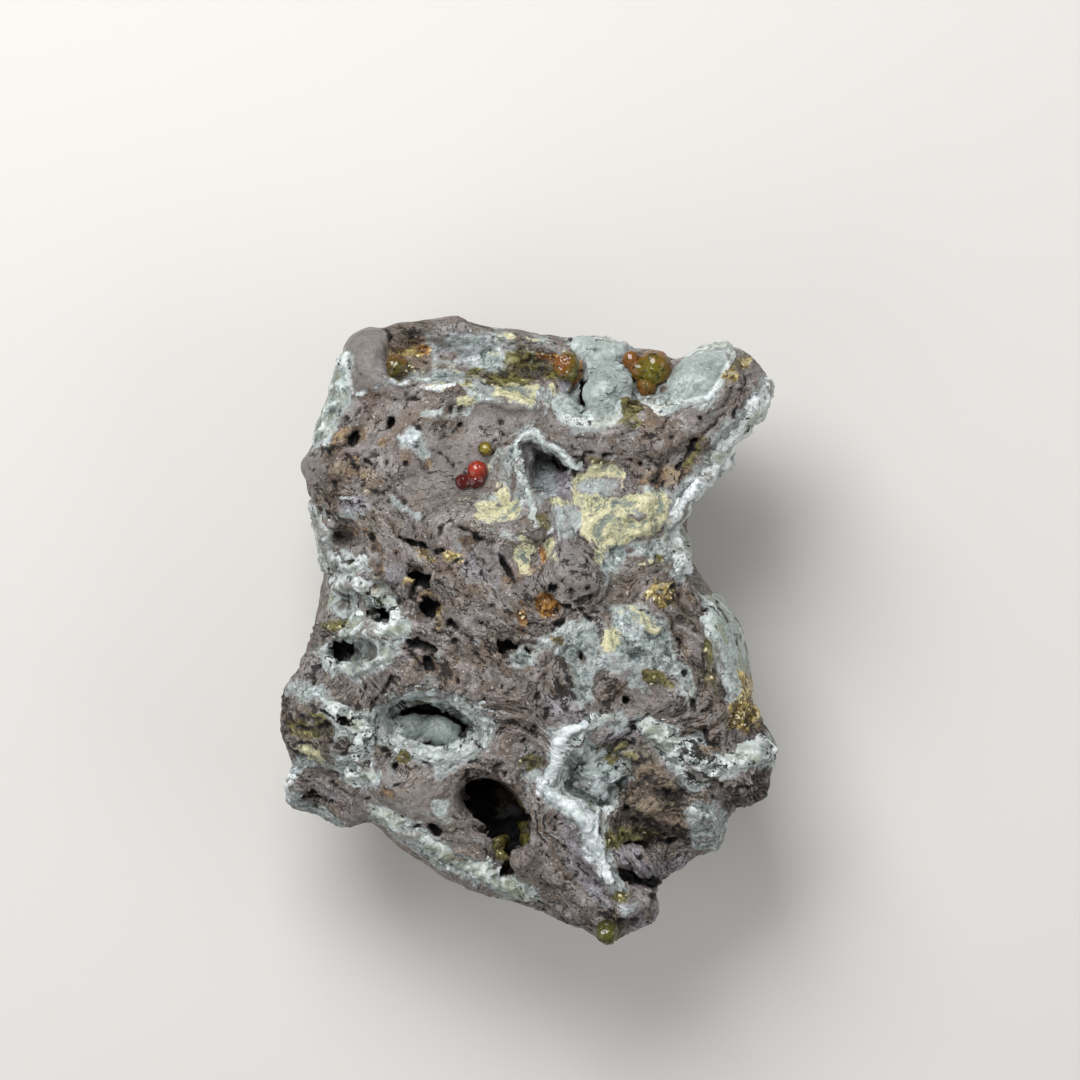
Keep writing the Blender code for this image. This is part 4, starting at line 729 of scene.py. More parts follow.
class Surface:
    """Height and ground of the stone's surface at each point of a mesh."""

    FAR = 2.0           # millimetres past which a patch's edge distance no longer matters
    FIRM = 0.6          # a patch at least this strong takes the place of the grounds under it

    def __init__(self, points: Array, normals: Array) -> None:
        """Work out where each point lies on the face and along the grain.

        Args:
            points: places on the face sheet, in millimetres.
            normals: the surface's directions there.
        """
        self.points = points
        self.normals = normals
        self.noise = Noise(11)
        self.relief = np.full(len(points), 0.5)
        self.rim = np.full(len(points), 1.2)
        self.rise, self.crusted, self.shade, self.light, self.calm = np.zeros((5, len(points)))
        up = smooth_step((normals[:, 2] + 0.35) / 0.3)
        self.face = smooth_step((points[:, 2] - 17.0) / 3.0) * up
        warp_x = self.noise.layered(points, 1.8, 3, 0.6)
        warp_y = self.noise.layered(points + 40.0, 1.8, 3, 0.6)
        self.x = points[:, 0] + 0.55 * warp_x
        self.y = points[:, 1] + 0.55 * warp_y
        self.flaky = np.zeros(len(points))
        self.grain = self.grain_places()
        self.reach = {tint: np.full(len(points), -self.FAR) for tint in Tint}

    def grain_places(self) -> Array:
        """Places measured along the grain, across it and up, in millimetres."""
        x, y = self.points[:, 0], self.points[:, 1]
        whole = np.full(len(x), 1e-6)
        along, across, flaky = (np.zeros(len(x)) for _ in range(3))
        for cx, cy, reach, angle, flakes in GRAIN:
            weight = np.exp(-((x - cx) ** 2 + (y - cy) ** 2) / (reach * reach))
            turn = math.radians(angle)
            along += weight * ((x - cx) * math.cos(turn) + (y - cy) * math.sin(turn))
            across += weight * (-(x - cx) * math.sin(turn) + (y - cy) * math.cos(turn))
            flaky += weight * flakes
            whole += weight
        along, across = along / whole, across / whole
        self.flaky = 0.5 + self.face * (flaky / whole - 0.5)
        for cx, cy, reach, strength in WRAPS:
            bump = np.exp(-((x - cx) ** 2 + (y - cy) ** 2) / (reach * reach))
            across = across + strength * bump
        return np.column_stack((along, across, self.points[:, 2]))

    def ground(self, tint: Tint, soft: float = 0.5) -> Array:
        """How much of one ground lies at each point."""
        return smooth_step(0.5 + self.reach[tint] / soft)

    def bare(self) -> Array:
        """How much of the bare matrix shows at each point."""
        covered = np.max([self.ground(tint) for tint in Tint if tint is not Tint.DARK], axis=0)
        return 1.0 - covered

    def near(self, shape: Shape, margin: float) -> Array:
        """The numbers of the points that lie near a shape."""
        low_x, high_x, low_y, high_y = shape.box()
        return np.nonzero((self.x > low_x - margin) & (self.x < high_x + margin)
                          & (self.y > low_y - margin) & (self.y < high_y + margin)
                          & (self.face > 0.01))[0]

    def lay_patches(self) -> None:
        """Lay each patch over those before it, with a ragged edge."""
        ragged = 0.4 * self.noise.layered(self.points + 90.0, 1.1, 3, 0.6)
        gaps = self.gaps()
        crusts = [Patch(Tint.PALE, shape) for crust in CRUSTS for shape in crust.zone]
        for number, patch in enumerate((*crusts, *PATCHES)):
            if number == len(crusts):
                self.crusted = self.ground(Tint.PALE)
            spots = self.near(patch.shape, self.FAR)
            edge = patch.shape.inside(self.x[spots], self.y[spots]) + ragged[spots]
            edge = edge - 3.0 * (1.0 - self.face[spots])
            if patch.tint is Tint.PALE:
                edge = edge - gaps[spots]
            most = self.FAR if patch.strength > 0.85 else 0.9 * (patch.strength - 0.5)
            own = self.reach[patch.tint]
            own[spots] = np.maximum(own[spots], np.minimum(edge, most))
            order = list(self.reach)
            hiding = order[order.index(patch.tint) + 1:] if patch.strength >= self.FIRM else []
            for tint in hiding:
                other = self.reach[tint]
                other[spots] = np.minimum(other[spots], -edge)
        self.lay_sides()

    def gaps(self) -> Array:
        """How far, in millimetres, the edges of pale ground draw back here and there."""
        return 5.0 * np.clip(self.noise.layered(self.points + 120.0, 3.2, 3, 0.6) - 0.26, 0.0, None)

    def lay_sides(self) -> None:
        """Lay pale crust and rust here and there on the sides and the back."""
        side = 3.0 * (1.0 - self.face) - 2.5
        crusty = 4.0 * (self.noise.layered(self.points, 15.0, 3) - 0.28)
        rusty = 4.0 * (self.noise.layered(self.points + 60.0, 9.0, 3) - 0.34)
        for tint, patchy in ((Tint.PALE, crusty), (Tint.RUST, rusty)):
            self.reach[tint] = np.maximum(self.reach[tint], np.minimum(patchy, side))

    def roughen(self) -> None:
        """Break the surface up with lumps, flakes, grain lines and small ledges."""
        self.calm = np.maximum(self.calm, 0.8 * self.ground(Tint.GREY))
        loose = (1.0 - self.calm) * (1.0 - 0.5 * self.ground(Tint.PALE))
        flaky = loose * self.flaky * (1.0 - 0.5 * self.ground(Tint.PALE))
        flaky *= 0.3 + 0.7 * smooth_step((self.normals[:, 2] - 0.1) / 0.3) * self.face
        self.rise += loose * 0.20 * self.noise.layered(self.points, 3.4, 2)
        self.rise += loose * 0.16 * self.noise.layered(self.points + 8.0, 1.3, 3, 0.6)
        warped = self.grain + 0.5 * np.column_stack([
            self.noise.layered(self.points + shift, 1.6, 2) for shift in (3.0, 13.0, 23.0)])
        ledges = self.noise.layered(warped * (0.22, 1.0, 1.0) + 31.0, 3.0, 2)
        self.rise += flaky * 0.30 * np.tanh(7.0 * ledges)
        self.crack(ledges, 0.030, flaky)
        nearest, second, number, plane = self.noise.cells(warped * (0.45, 1.0, 1.0), 1.9)
        self.rise += flaky * (0.40 * (number - 0.5) + 0.45 * plane)
        self.rise -= flaky * 0.22 * smooth_step(1.0 - (second - nearest) / 0.16)
        _, _, number, plane = self.noise.cells(warped * (0.6, 1.0, 1.0) + 70.0, 0.95)
        self.rise += flaky * (0.22 * (number - 0.5) + 0.25 * plane)
        lines = 1.0 - np.abs(self.noise.layered(self.grain * (0.35, 1.0, 0.7), 1.2, 3))
        self.rise += loose * 0.18 * (lines - 0.75)

    def crack(self, field: Array, width: float, amount: Array) -> None:
        """Open short cracks where a noise crosses zero, painted black inside as their shadow."""
        stretch = self.noise.layered(self.points + 55.0, 3.0, 2)
        edge = (width - np.abs(field)) * 6.0 - 3.0 * np.clip(0.12 - stretch * amount, 0.0, 1.0)
        edge = np.clip(np.minimum(edge, 3.0 * (self.bare() - 0.6)), -0.5, 0.5)
        self.reach[Tint.DARK] = np.maximum(self.reach[Tint.DARK], edge)
        self.rise -= 0.5 * smooth_step(edge / 0.15)

    def open_pores(self) -> None:
        """Open the drawn-out gas pores of the bare matrix."""
        room = self.bare() + 0.6 * self.ground(Tint.RUST) + 0.5 * self.ground(Tint.BROWN)
        room += 0.25 * self.ground(Tint.GREY)
        busy = smooth_step(0.45 + 1.5 * self.noise.layered(self.points + 7.0, 6.0, 2))
        warp = 0.6 * np.column_stack([
            self.noise.layered(self.points + shift, 0.8, 2) for shift in (5.0, 15.0, 25.0)])
        shut = 2.0 * np.clip(0.6 - room, 0.0, 1.0)
        for size, least, depth in ((2.2, 0.50, 1.1), (1.1, 0.42, 0.7)):
            place = (self.grain + warp) * (0.55, 1.0, 0.9) + size * 50.0
            holes = self.noise.layered(place, size, 4, 0.65)
            few = 0.20 * (1.0 - busy) - 0.10 * (self.flaky - 0.6)
            edge = 0.7 * size * (holes - least - few) - shut
            self.rise -= depth * smooth_step(edge / 0.15)
            # The pores are painted black inside as their shadow.
            self.reach[Tint.DARK] = np.maximum(self.reach[Tint.DARK], edge)

    def grow_knobs(self) -> None:
        """Cover the pale ground with small crystals and raise the rims."""
        pale = np.maximum(self.ground(Tint.PALE), self.ground(Tint.WHITE))
        for size, height in ((2.4, 0.22), (1.1, 0.15), (0.6, 0.07)):
            nearest, _, number, plane = self.noise.cells(self.points + size * 9.0, size)
            lump = (0.5 - nearest ** 2) * (0.5 + number)
            self.rise += pale * height * (lump + 1.2 * plane)
        self.rise += 0.2 * pale * self.noise.layered(self.points + 4.0, 1.2, 3, 0.6)
        self.rise -= 0.25 * self.crusted
        steps = self.noise.layered(self.grain * (0.5, 1.0, 1.0), 1.5, 3)
        self.rise += self.ground(Tint.CREAM) * 0.25 * np.tanh(7.0 * steps)
        self.raise_ridges(STONE_RIDGES)

    def raise_knobs(self, knobs: Sequence[Knob]) -> None:
        """Raise rounded lumps, smooth on top."""
        for knob in knobs:
            share = knob.foot.reach(self.x, self.y)
            dome = np.clip(1.0 - share ** 2, 0.0, 1.0) ** knob.steep * self.face
            self.rise += knob.height * dome
            self.calm = np.maximum(self.calm, np.clip(2.0 * dome, 0.0, 0.9))

    def set_beads(self) -> None:
        """Set the small glassy beads on the finished surface, also over the mouths of pits."""
        for bead in SMALL_BEADS:
            share = bead.foot.reach(self.x, self.y)
            spots = np.nonzero((share < 1.0) & (self.face > 0.3))[0]
            dome = np.sqrt(1.0 - share[spots] ** 2)
            self.rise[spots] = np.maximum(self.rise[spots], bead.height * dome - 0.4)
            self.calm[spots] = 0.9
            self.shade[spots] = 0.0
            self.relief[spots] = 0.5
            for tint in Tint:
                edge = 0.3 + dome if tint is Tint.OLIVE else -1.5 * np.ones(len(spots))
                self.reach[tint][spots] = edge

    def raise_ridges(self, ridges: Sequence[Ridge]) -> None:
        """Raise rounded ridges of uneven height."""
        uneven = 1.0 + 0.5 * self.noise.layered(self.points + 77.0, 1.5, 2)
        x = 0.6 * self.points[:, 0] + 0.4 * self.x
        y = 0.6 * self.points[:, 1] + 0.4 * self.y
        for ridge in ridges:
            share = ridge.line.away(x, y) / ridge.line.half
            round_top = np.sqrt(np.clip(1.0 - share ** 2, 0.0, 1.0)) * self.face
            self.rise += ridge.height * uneven * round_top
            # The ridge tops are marked for a lighter tone: partly real pale rims, partly painted light.
            self.light = np.maximum(self.light, round_top)
            self.calm = np.maximum(self.calm, ridge.calm * smooth_step(2.0 * round_top))

    def sink_pits(self) -> None:
        """Sink the named pits, slits and cracks, and paint shade and black shadow into them."""
        ragged = 0.30 * self.noise.layered(self.points + 25.0, 0.8, 3, 0.6)
        width = 1.0 + 0.9 * self.noise.layered(self.points + 45.0, 1.1, 2)
        tears = self.noise.layered(self.points + 95.0, 2.6, 3, 0.6)
        for pit in PITS:
            spots = self.near(pit.mouth, 1.5)
            edge = pit.mouth.inside(self.x[spots], self.y[spots]) + ragged[spots] + pit.torn * tears[spots]
            if isinstance(pit.mouth, Line):
                edge = edge + pit.mouth.half * (width[spots] - 1.3)
            elif isinstance(pit.mouth, Loop):
                edge = edge + 0.10
            edge = edge - 3.0 * (1.0 - self.face[spots])
            sunk = smooth_step(edge / pit.wall)
            self.rise[spots] -= pit.depth * sunk
            self.shade[spots] = np.maximum(self.shade[spots], pit.dark * sunk)
            if pit.dark >= 0.6:
                dark = self.reach[Tint.DARK]
                dark[spots] = np.maximum(dark[spots], edge - 0.5 * (1.0 - pit.dark))

    def carve(self) -> None:
        """Lay the grounds, then roughen, pit and knob the bare stone."""
        self.lay_patches()
        self.roughen()
        self.open_pores()
        self.grow_knobs()
        # The relief follows height and ridge tops; the finishes turn it into painted shade in hollows and
        # painted light on crests.
        self.relief = np.clip(0.5 + self.rise / 1.6 + 0.2 * self.light, 0.0, 1.0)
        self.sink_pits()
        self.set_beads()

    def store(self, piece: Piece) -> None:
        """Write the grounds, the relief and the grain places to the mesh as attributes."""
        for tint, edge in self.reach.items():
            store_number(piece, tint.value, np.clip(edge, -1.5, 1.2))
        for name, amount in (("relief", self.relief), ("shade", self.shade), ("calm", self.calm),
                             ("flaky", self.flaky), ("rim", self.rim)):
            store_number(piece, name, amount)
        old = piece.data.attributes.get("grain")
        if old is not None:
            piece.data.attributes.remove(old)
        place = piece.data.attributes.new("grain", "FLOAT_VECTOR", "POINT")
        place.data.foreach_set("vector", self.grain.astype(np.float32).ravel())


@dataclass
class StoneBody:
    """The matrix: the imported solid, made fine and given its grain, pores, pits and colours."""

    node: str = "matrix"
    voxel: float = 0.67             # the mesh's grain, in millimetres
    smoothing: int = 3
    face_low: float = 20.0          # the lowest height of the face's finer mesh
    waist_top: float = 29.0         # the height under which the two waists are drawn in
    waists: tuple[tuple[float, ...], ...] = (   # middle x, y, reach and shift along x
        (23.5, 11.0, 7.0, -3.6), (-30.0, 13.0, 5.0, 1.4))

    def fine_copy(self) -> Piece:
        """Copy the node's mesh and make it fine, most of all on the face."""
        piece = remeshed(self.node, "matrix_stone", self.voxel, self.smoothing)
        self.pull_in(piece)
        select_faces(piece, self.on_face(piece))
        edit_mesh(piece)
        bpy.ops.mesh.subdivide(number_cuts=1)
        bpy.ops.object.mode_set(mode="OBJECT")
        return piece

    def pull_in(self, piece: Piece) -> None:
        """Draw the sides under the face's two waists inwards, so that its edge shows from above."""
        points = sheet_points(piece)
        below = smooth_step((self.waist_top - points[:, 2]) / 5.0)
        for x, y, wide, shift in self.waists:
            near = np.exp(-((points[:, 0] - x) ** 2 + (points[:, 1] - y) ** 2) / wide ** 2)
            points[:, 0] += shift * near * below
        write_points(piece, points)

    def on_face(self, piece: Piece) -> Array:
        """Which faces of the mesh belong to the stone's face."""
        centres, normals = face_places(piece)
        return (centres[:, 2] > self.face_low + 1.0) & (normals[:, 2] > 0.12)

    def build(self, piece: Piece) -> Piece:
        """Carve the fine copy, still smooth, and give it its attributes."""
        points = sheet_points(piece)
        normals = point_normals(piece)
        surface = Surface(points, normals)
        surface.carve()
        write_points(piece, points + normals * surface.rise[:, None])
        surface.store(piece)
        shade_smooth(piece)
        return piece


@dataclass
class Crust:
    """One crust of chalcedony that grew on the matrix, thin at its ragged edge."""

    node: str
    zone: Sequence[Shape]
    thickness: float = 0.4
    edge: float = 1.4               # how far in from its edge it reaches its thickness
    sink: float = 0.35              # how deep its edge lies in the matrix
    low: float = 17.0               # the lowest it grows
    coarse: float = 2.2
    lumps: float = 0.16             # height of its coarse lumps
    sugar: float = 0.06             # height of its fine crystals
    net: float = 0.3                # height of the net of rims between its small hollows
    gappy: float = 1.0              # how much of the rock shows through it
    tone: float = 0.0               # how much lighter it is than the others
    white: float = 0.0              # share of white ground on it
    knobs: Sequence[Knob] = ()
    ridges: Sequence[Ridge] = ()
    slot: str = "crust"

    MARGIN = 2.5                    # how far outside the zone the stone's mesh is looked at
    FIRST_CUT = -1.2                # depth inside the edge kept before the mesh is made finer
    LAST_CUT = -0.35                # and after it

    def reach(self, surface: Surface) -> Array:
        """Depth inside the crust's edge at each point, in millimetres."""
        inside = np.max([shape.inside(surface.x, surface.y) for shape in self.zone], axis=0)
        height = surface.points[:, 2]
        ragged = 0.9 * surface.noise.layered(surface.points + 33.0, 2.2, 4, 0.65)
        wander = surface.noise.layered(surface.points + 66.0, 5.0, 2)
        deep = np.clip(0.25 * (24.0 - height), 0.0, 2.5)
        below = 1.5 * np.clip(self.low + 5.0 * wander - height, 0.0, None)
        return inside + ragged + deep * wander - below - self.gappy * surface.gaps()

    def build(self, smooth: bpy.types.Mesh) -> Piece:
        """Grow the crust on the stone.

        Args:
            smooth: the stone's fine mesh, before it is carved.

        Returns:
            The finished piece, without a material.
        """
        piece = bpy.data.objects.new(self.node + "_grown", smooth.copy())
        bpy.context.scene.collection.objects.link(piece)
        self.keep_faces(piece, self.FIRST_CUT)
        edit_mesh(piece)
        bpy.ops.mesh.select_all(action="SELECT")
        bpy.ops.mesh.subdivide(number_cuts=1)
        bpy.ops.object.mode_set(mode="OBJECT")
        apply_modifier(piece, "SMOOTH", factor=0.5, iterations=3)
        self.keep_faces(piece, self.LAST_CUT)
        points = sheet_points(piece)
        normals = point_normals(piece)
        surface = Surface(points, normals)
        surface.lay_patches()
        self.grow(surface)
        write_points(piece, points + normals * surface.rise[:, None])
        surface.store(piece)
        apply_modifier(piece, "SOLIDIFY", thickness=(self.sink + 0.35) * MM, offset=-1.0, use_rim=True)
        shade_smooth(piece)
        return piece

    def keep_faces(self, piece: Piece, least: float) -> None:
        """Delete the faces that lie too far outside the crust's edge.

        Args:
            piece: the object to cut down.
            least: the least depth inside the edge that is kept, in millimetres.
        """
        boxes = np.array([shape.box() for shape in self.zone])
        centres, _ = face_places(piece)
        outside = np.zeros(len(centres), dtype=bool)
        for axis in (0, 1):
            outside |= centres[:, axis] < boxes[:, 2 * axis].min() - self.MARGIN
            outside |= centres[:, axis] > boxes[:, 2 * axis + 1].max() + self.MARGIN
        delete_faces(piece, outside)
        centres, normals = face_places(piece)
        delete_faces(piece, self.reach(Surface(centres, normals)) < least)

    def grow(self, surface: Surface) -> None:
        """Raise the crust's body, its lumps and its crystals from the stone's surface."""
        inside = self.reach(surface)
        body = smooth_step(inside / self.edge + 0.15)
        noise = surface.noise
        surface.rise = (self.thickness + self.sink) * body - self.sink
        surface.calm = np.maximum(surface.calm, surface.ground(Tint.GREY))
        surface.raise_knobs(self.knobs)
        surface.raise_ridges(self.ridges)
        bent = surface.points + 0.9 * noise.layered(surface.points + 51.0, 1.6, 2)[:, None]
        nearest, second, _, _ = noise.cells(bent, 2.9)
        relief = self.net * (smooth_step(1.0 - (second - nearest) / 0.35) - 0.35)
        for size, height in ((self.coarse, self.lumps), (1.0, 0.4 * self.lumps), (0.5, self.sugar)):
            nearest, _, number, plane = noise.cells(surface.points + size * 9.0, size)
            relief += height * ((0.5 - nearest ** 2) * (0.5 + number) + 0.9 * plane)
        relief += 0.8 * self.lumps * noise.layered(surface.points + 4.0, 1.8, 4, 0.6)
        relief *= 1.0 - 0.92 * surface.calm
        surface.rise += relief * body
        surface.sink_pits()
        # The relief sets the tone: the crust's own lightness, painted light on ridge tops and crests, painted
        # shade in hollows.
        lift = self.tone + 0.22 * surface.light
        surface.relief = np.clip(0.5 + lift + relief / 0.6, 0.0, 1.0)
        surface.rim = np.clip(inside, -1.5, 1.2)
        white = 2.0 * (self.white - 0.5) + noise.layered(surface.points, 3.0, 3)
        white = np.minimum(white, 1.0 - 2.0 * surface.ground(Tint.GREY))
        surface.reach[Tint.WHITE] = np.maximum(surface.reach[Tint.WHITE], white)


# Mesh helpers

def sheet_points(piece: Piece) -> Array:
    """The mesh's points on the face sheet, in millimetres."""
    flat = np.empty(len(piece.data.vertices) * 3)
    piece.data.vertices.foreach_get("co", flat)
    return flat.reshape(-1, 3) / MM - np.array((*SHEET_IN_FRAME, 0.0))


def write_points(piece: Piece, points: Array) -> None:
    """Write points from the face sheet back to the mesh, none below the surface it stands on.

    Args:
        piece: the object whose mesh is moved.
        points: places on the face sheet, in millimetres.
    """
    placed = (points + np.array((*SHEET_IN_FRAME, 0.0))) * MM
    placed[:, 2] = np.maximum(placed[:, 2], 0.0)
    piece.data.vertices.foreach_set("co", placed.ravel())
    piece.data.update()


def point_normals(piece: Piece) -> Array:
    """The mesh's point normals."""
    flat = np.empty(len(piece.data.vertices) * 3)
    piece.data.vertex_normals.foreach_get("vector", flat)
    return flat.reshape(-1, 3)


def face_places(piece: Piece) -> tuple[Array, Array]:
    """The middles of the mesh's faces on the face sheet, in millimetres, and their directions."""
    mesh = piece.data
    centres = np.empty(len(mesh.polygons) * 3)
    mesh.polygons.foreach_get("center", centres)
    normals = np.empty(len(mesh.polygons) * 3)
    mesh.polygons.foreach_get("normal", normals)
    middle = centres.reshape(-1, 3) / MM - np.array((*SHEET_IN_FRAME, 0.0))
    return middle, normals.reshape(-1, 3)


def store_number(piece: Piece, name: str, amount: Array) -> None:
    """Write one number for each point of the mesh as an attribute."""
    old = piece.data.attributes.get(name)
    if old is not None:
        piece.data.attributes.remove(old)
    layer = piece.data.attributes.new(name, "FLOAT", "POINT")
    layer.data.foreach_set("value", amount.astype(np.float32))


def edit_mesh(piece: Piece) -> None:
    """Make the piece the only one selected and go to edit mode, on whole faces."""
    bpy.ops.object.select_all(action="DESELECT")
    piece.select_set(True)
    bpy.context.view_layer.objects.active = piece
    bpy.ops.object.mode_set(mode="EDIT")
    bpy.ops.mesh.select_mode(type="FACE")


def apply_modifier(piece: Piece, kind: str, **settings: Any) -> None:
    """Add a modifier with its settings and apply it.

    Args:
        piece: the object to change.
        kind: the modifier's type name.
        settings: the modifier's own properties.
    """
    step = piece.modifiers.new("step", kind)
    for name, value in settings.items():
        setattr(step, name, value)
    with bpy.context.temp_override(object=piece, active_object=piece):
        bpy.ops.object.modifier_apply(modifier=step.name)


def remeshed(node: str, name: str, voxel: float, rounds: int) -> Piece:
    """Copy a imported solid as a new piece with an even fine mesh.

    Args:
        node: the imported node.
        name: the new piece's name.
        voxel: the mesh's grain, in millimetres.
        rounds: how often it is smoothed.

    Returns:
        The new piece.
    """
    piece = bpy.data.objects.new(name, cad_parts[node].data.copy())
    bpy.context.scene.collection.objects.link(piece)
    edit_mesh(piece)
    bpy.ops.mesh.select_all(action="SELECT")
    bpy.ops.mesh.remove_doubles(threshold=1e-6)
    bpy.ops.object.mode_set(mode="OBJECT")
    apply_modifier(piece, "REMESH", mode="VOXEL", voxel_size=voxel * MM)
    apply_modifier(piece, "SMOOTH", factor=0.5, iterations=rounds)
    return piece


def select_faces(piece: Piece, wanted: Array) -> None:
    """Select some faces of a mesh and nothing else in it.

    Args:
        piece: the object, in object mode.
        wanted: whether each face is selected.
    """
    edit_mesh(piece)
    bpy.ops.mesh.select_all(action="DESELECT")
    bpy.ops.object.mode_set(mode="OBJECT")
    piece.data.polygons.foreach_set("select", wanted)


def delete_faces(piece: Piece, unwanted: Array) -> None:
    """Delete the unwanted faces of a mesh, in object mode."""
    select_faces(piece, unwanted)
    edit_mesh(piece)
    bpy.ops.mesh.delete(type="FACE")
    bpy.ops.object.mode_set(mode="OBJECT")


def shade_smooth(piece: Piece) -> None:
    """Shade all faces smooth."""
    piece.data.polygons.foreach_set("use_smooth", np.ones(len(piece.data.polygons), dtype=bool))
    piece.data.update()


# Finishes

@dataclass(frozen=True)
class Ground:
    """The colours of one kind of ground from hollows to crests, partly painted shade and light, and its
    roughness.
    """

    tint: Tint
    stops: tuple[tuple[float, str], ...]
    rough: float
    ragged: float = 0.9         # how far its edge wanders, in millimetres
    soft: float = 0.12          # how softly it ends, in millimetres
    rim: str = ""               # the colour of a thin line along its edge
    glints: float = 0.0         # share of its little faces given a painted glint


GROUNDS = (
    Ground(Tint.BROWN, ((0.3, "#1c140f"), (0.45, "#40362d"), (0.56, "#5a4f43"), (0.72, "#857663")), 0.5,
           2.2, 0.5),
    Ground(Tint.GREY, ((0.3, "#615c58"), (0.5, "#736e6a"), (0.74, "#87827e")), 0.5, 1.4, 0.5),
    Ground(Tint.LILAC, ((0.3, "#646164"), (0.5, "#7f7c81"), (0.74, "#a3a1a9")), 0.5, 2.2, 0.5),
    Ground(Tint.RUST, ((0.3, "#30251d"), (0.44, "#5b4938"), (0.56, "#7b654b"), (0.74, "#a48c68")), 0.55,
           2.6, 0.4),
    Ground(Tint.PALE, ((0.28, "#464f4e"), (0.42, "#76807e"), (0.58, "#a0aaa8"), (0.82, "#e2e9e9")), 0.35,
           2.4, 0.35, rim="#b6c0bf"),
    Ground(Tint.CREAM, ((0.3, "#76807a"), (0.4, "#979a82"), (0.48, "#bab792"), (0.62, "#d3cea6"), (0.78,
           "#e8e3c2")), 0.5, 2.8, 0.15, rim="#cfcba4"),
    Ground(Tint.WHITE, ((0.3, "#8b969a"), (0.5, "#b9c3c6"), (0.7, "#eff3f4")), 0.35, 1.8, 0.15),
    Ground(Tint.OLIVE, ((0.3, "#221c0f"), (0.45, "#4a4425"), (0.58, "#6b6435"), (0.78, "#8f8957")), 0.3,
           1.4, 0.2, glints=0.03),
    Ground(Tint.GOLD, ((0.3, "#2b1e0b"), (0.44, "#67562a"), (0.55, "#8d783f"), (0.72, "#cbb97c")), 0.25,
           1.6, 0.15, glints=0.1),
    Ground(Tint.AMBER, ((0.3, "#221208"), (0.44, "#5f3d1c"), (0.55, "#875a27"), (0.72, "#c4924a")), 0.25,
           1.2, 0.15, glints=0.05),
)


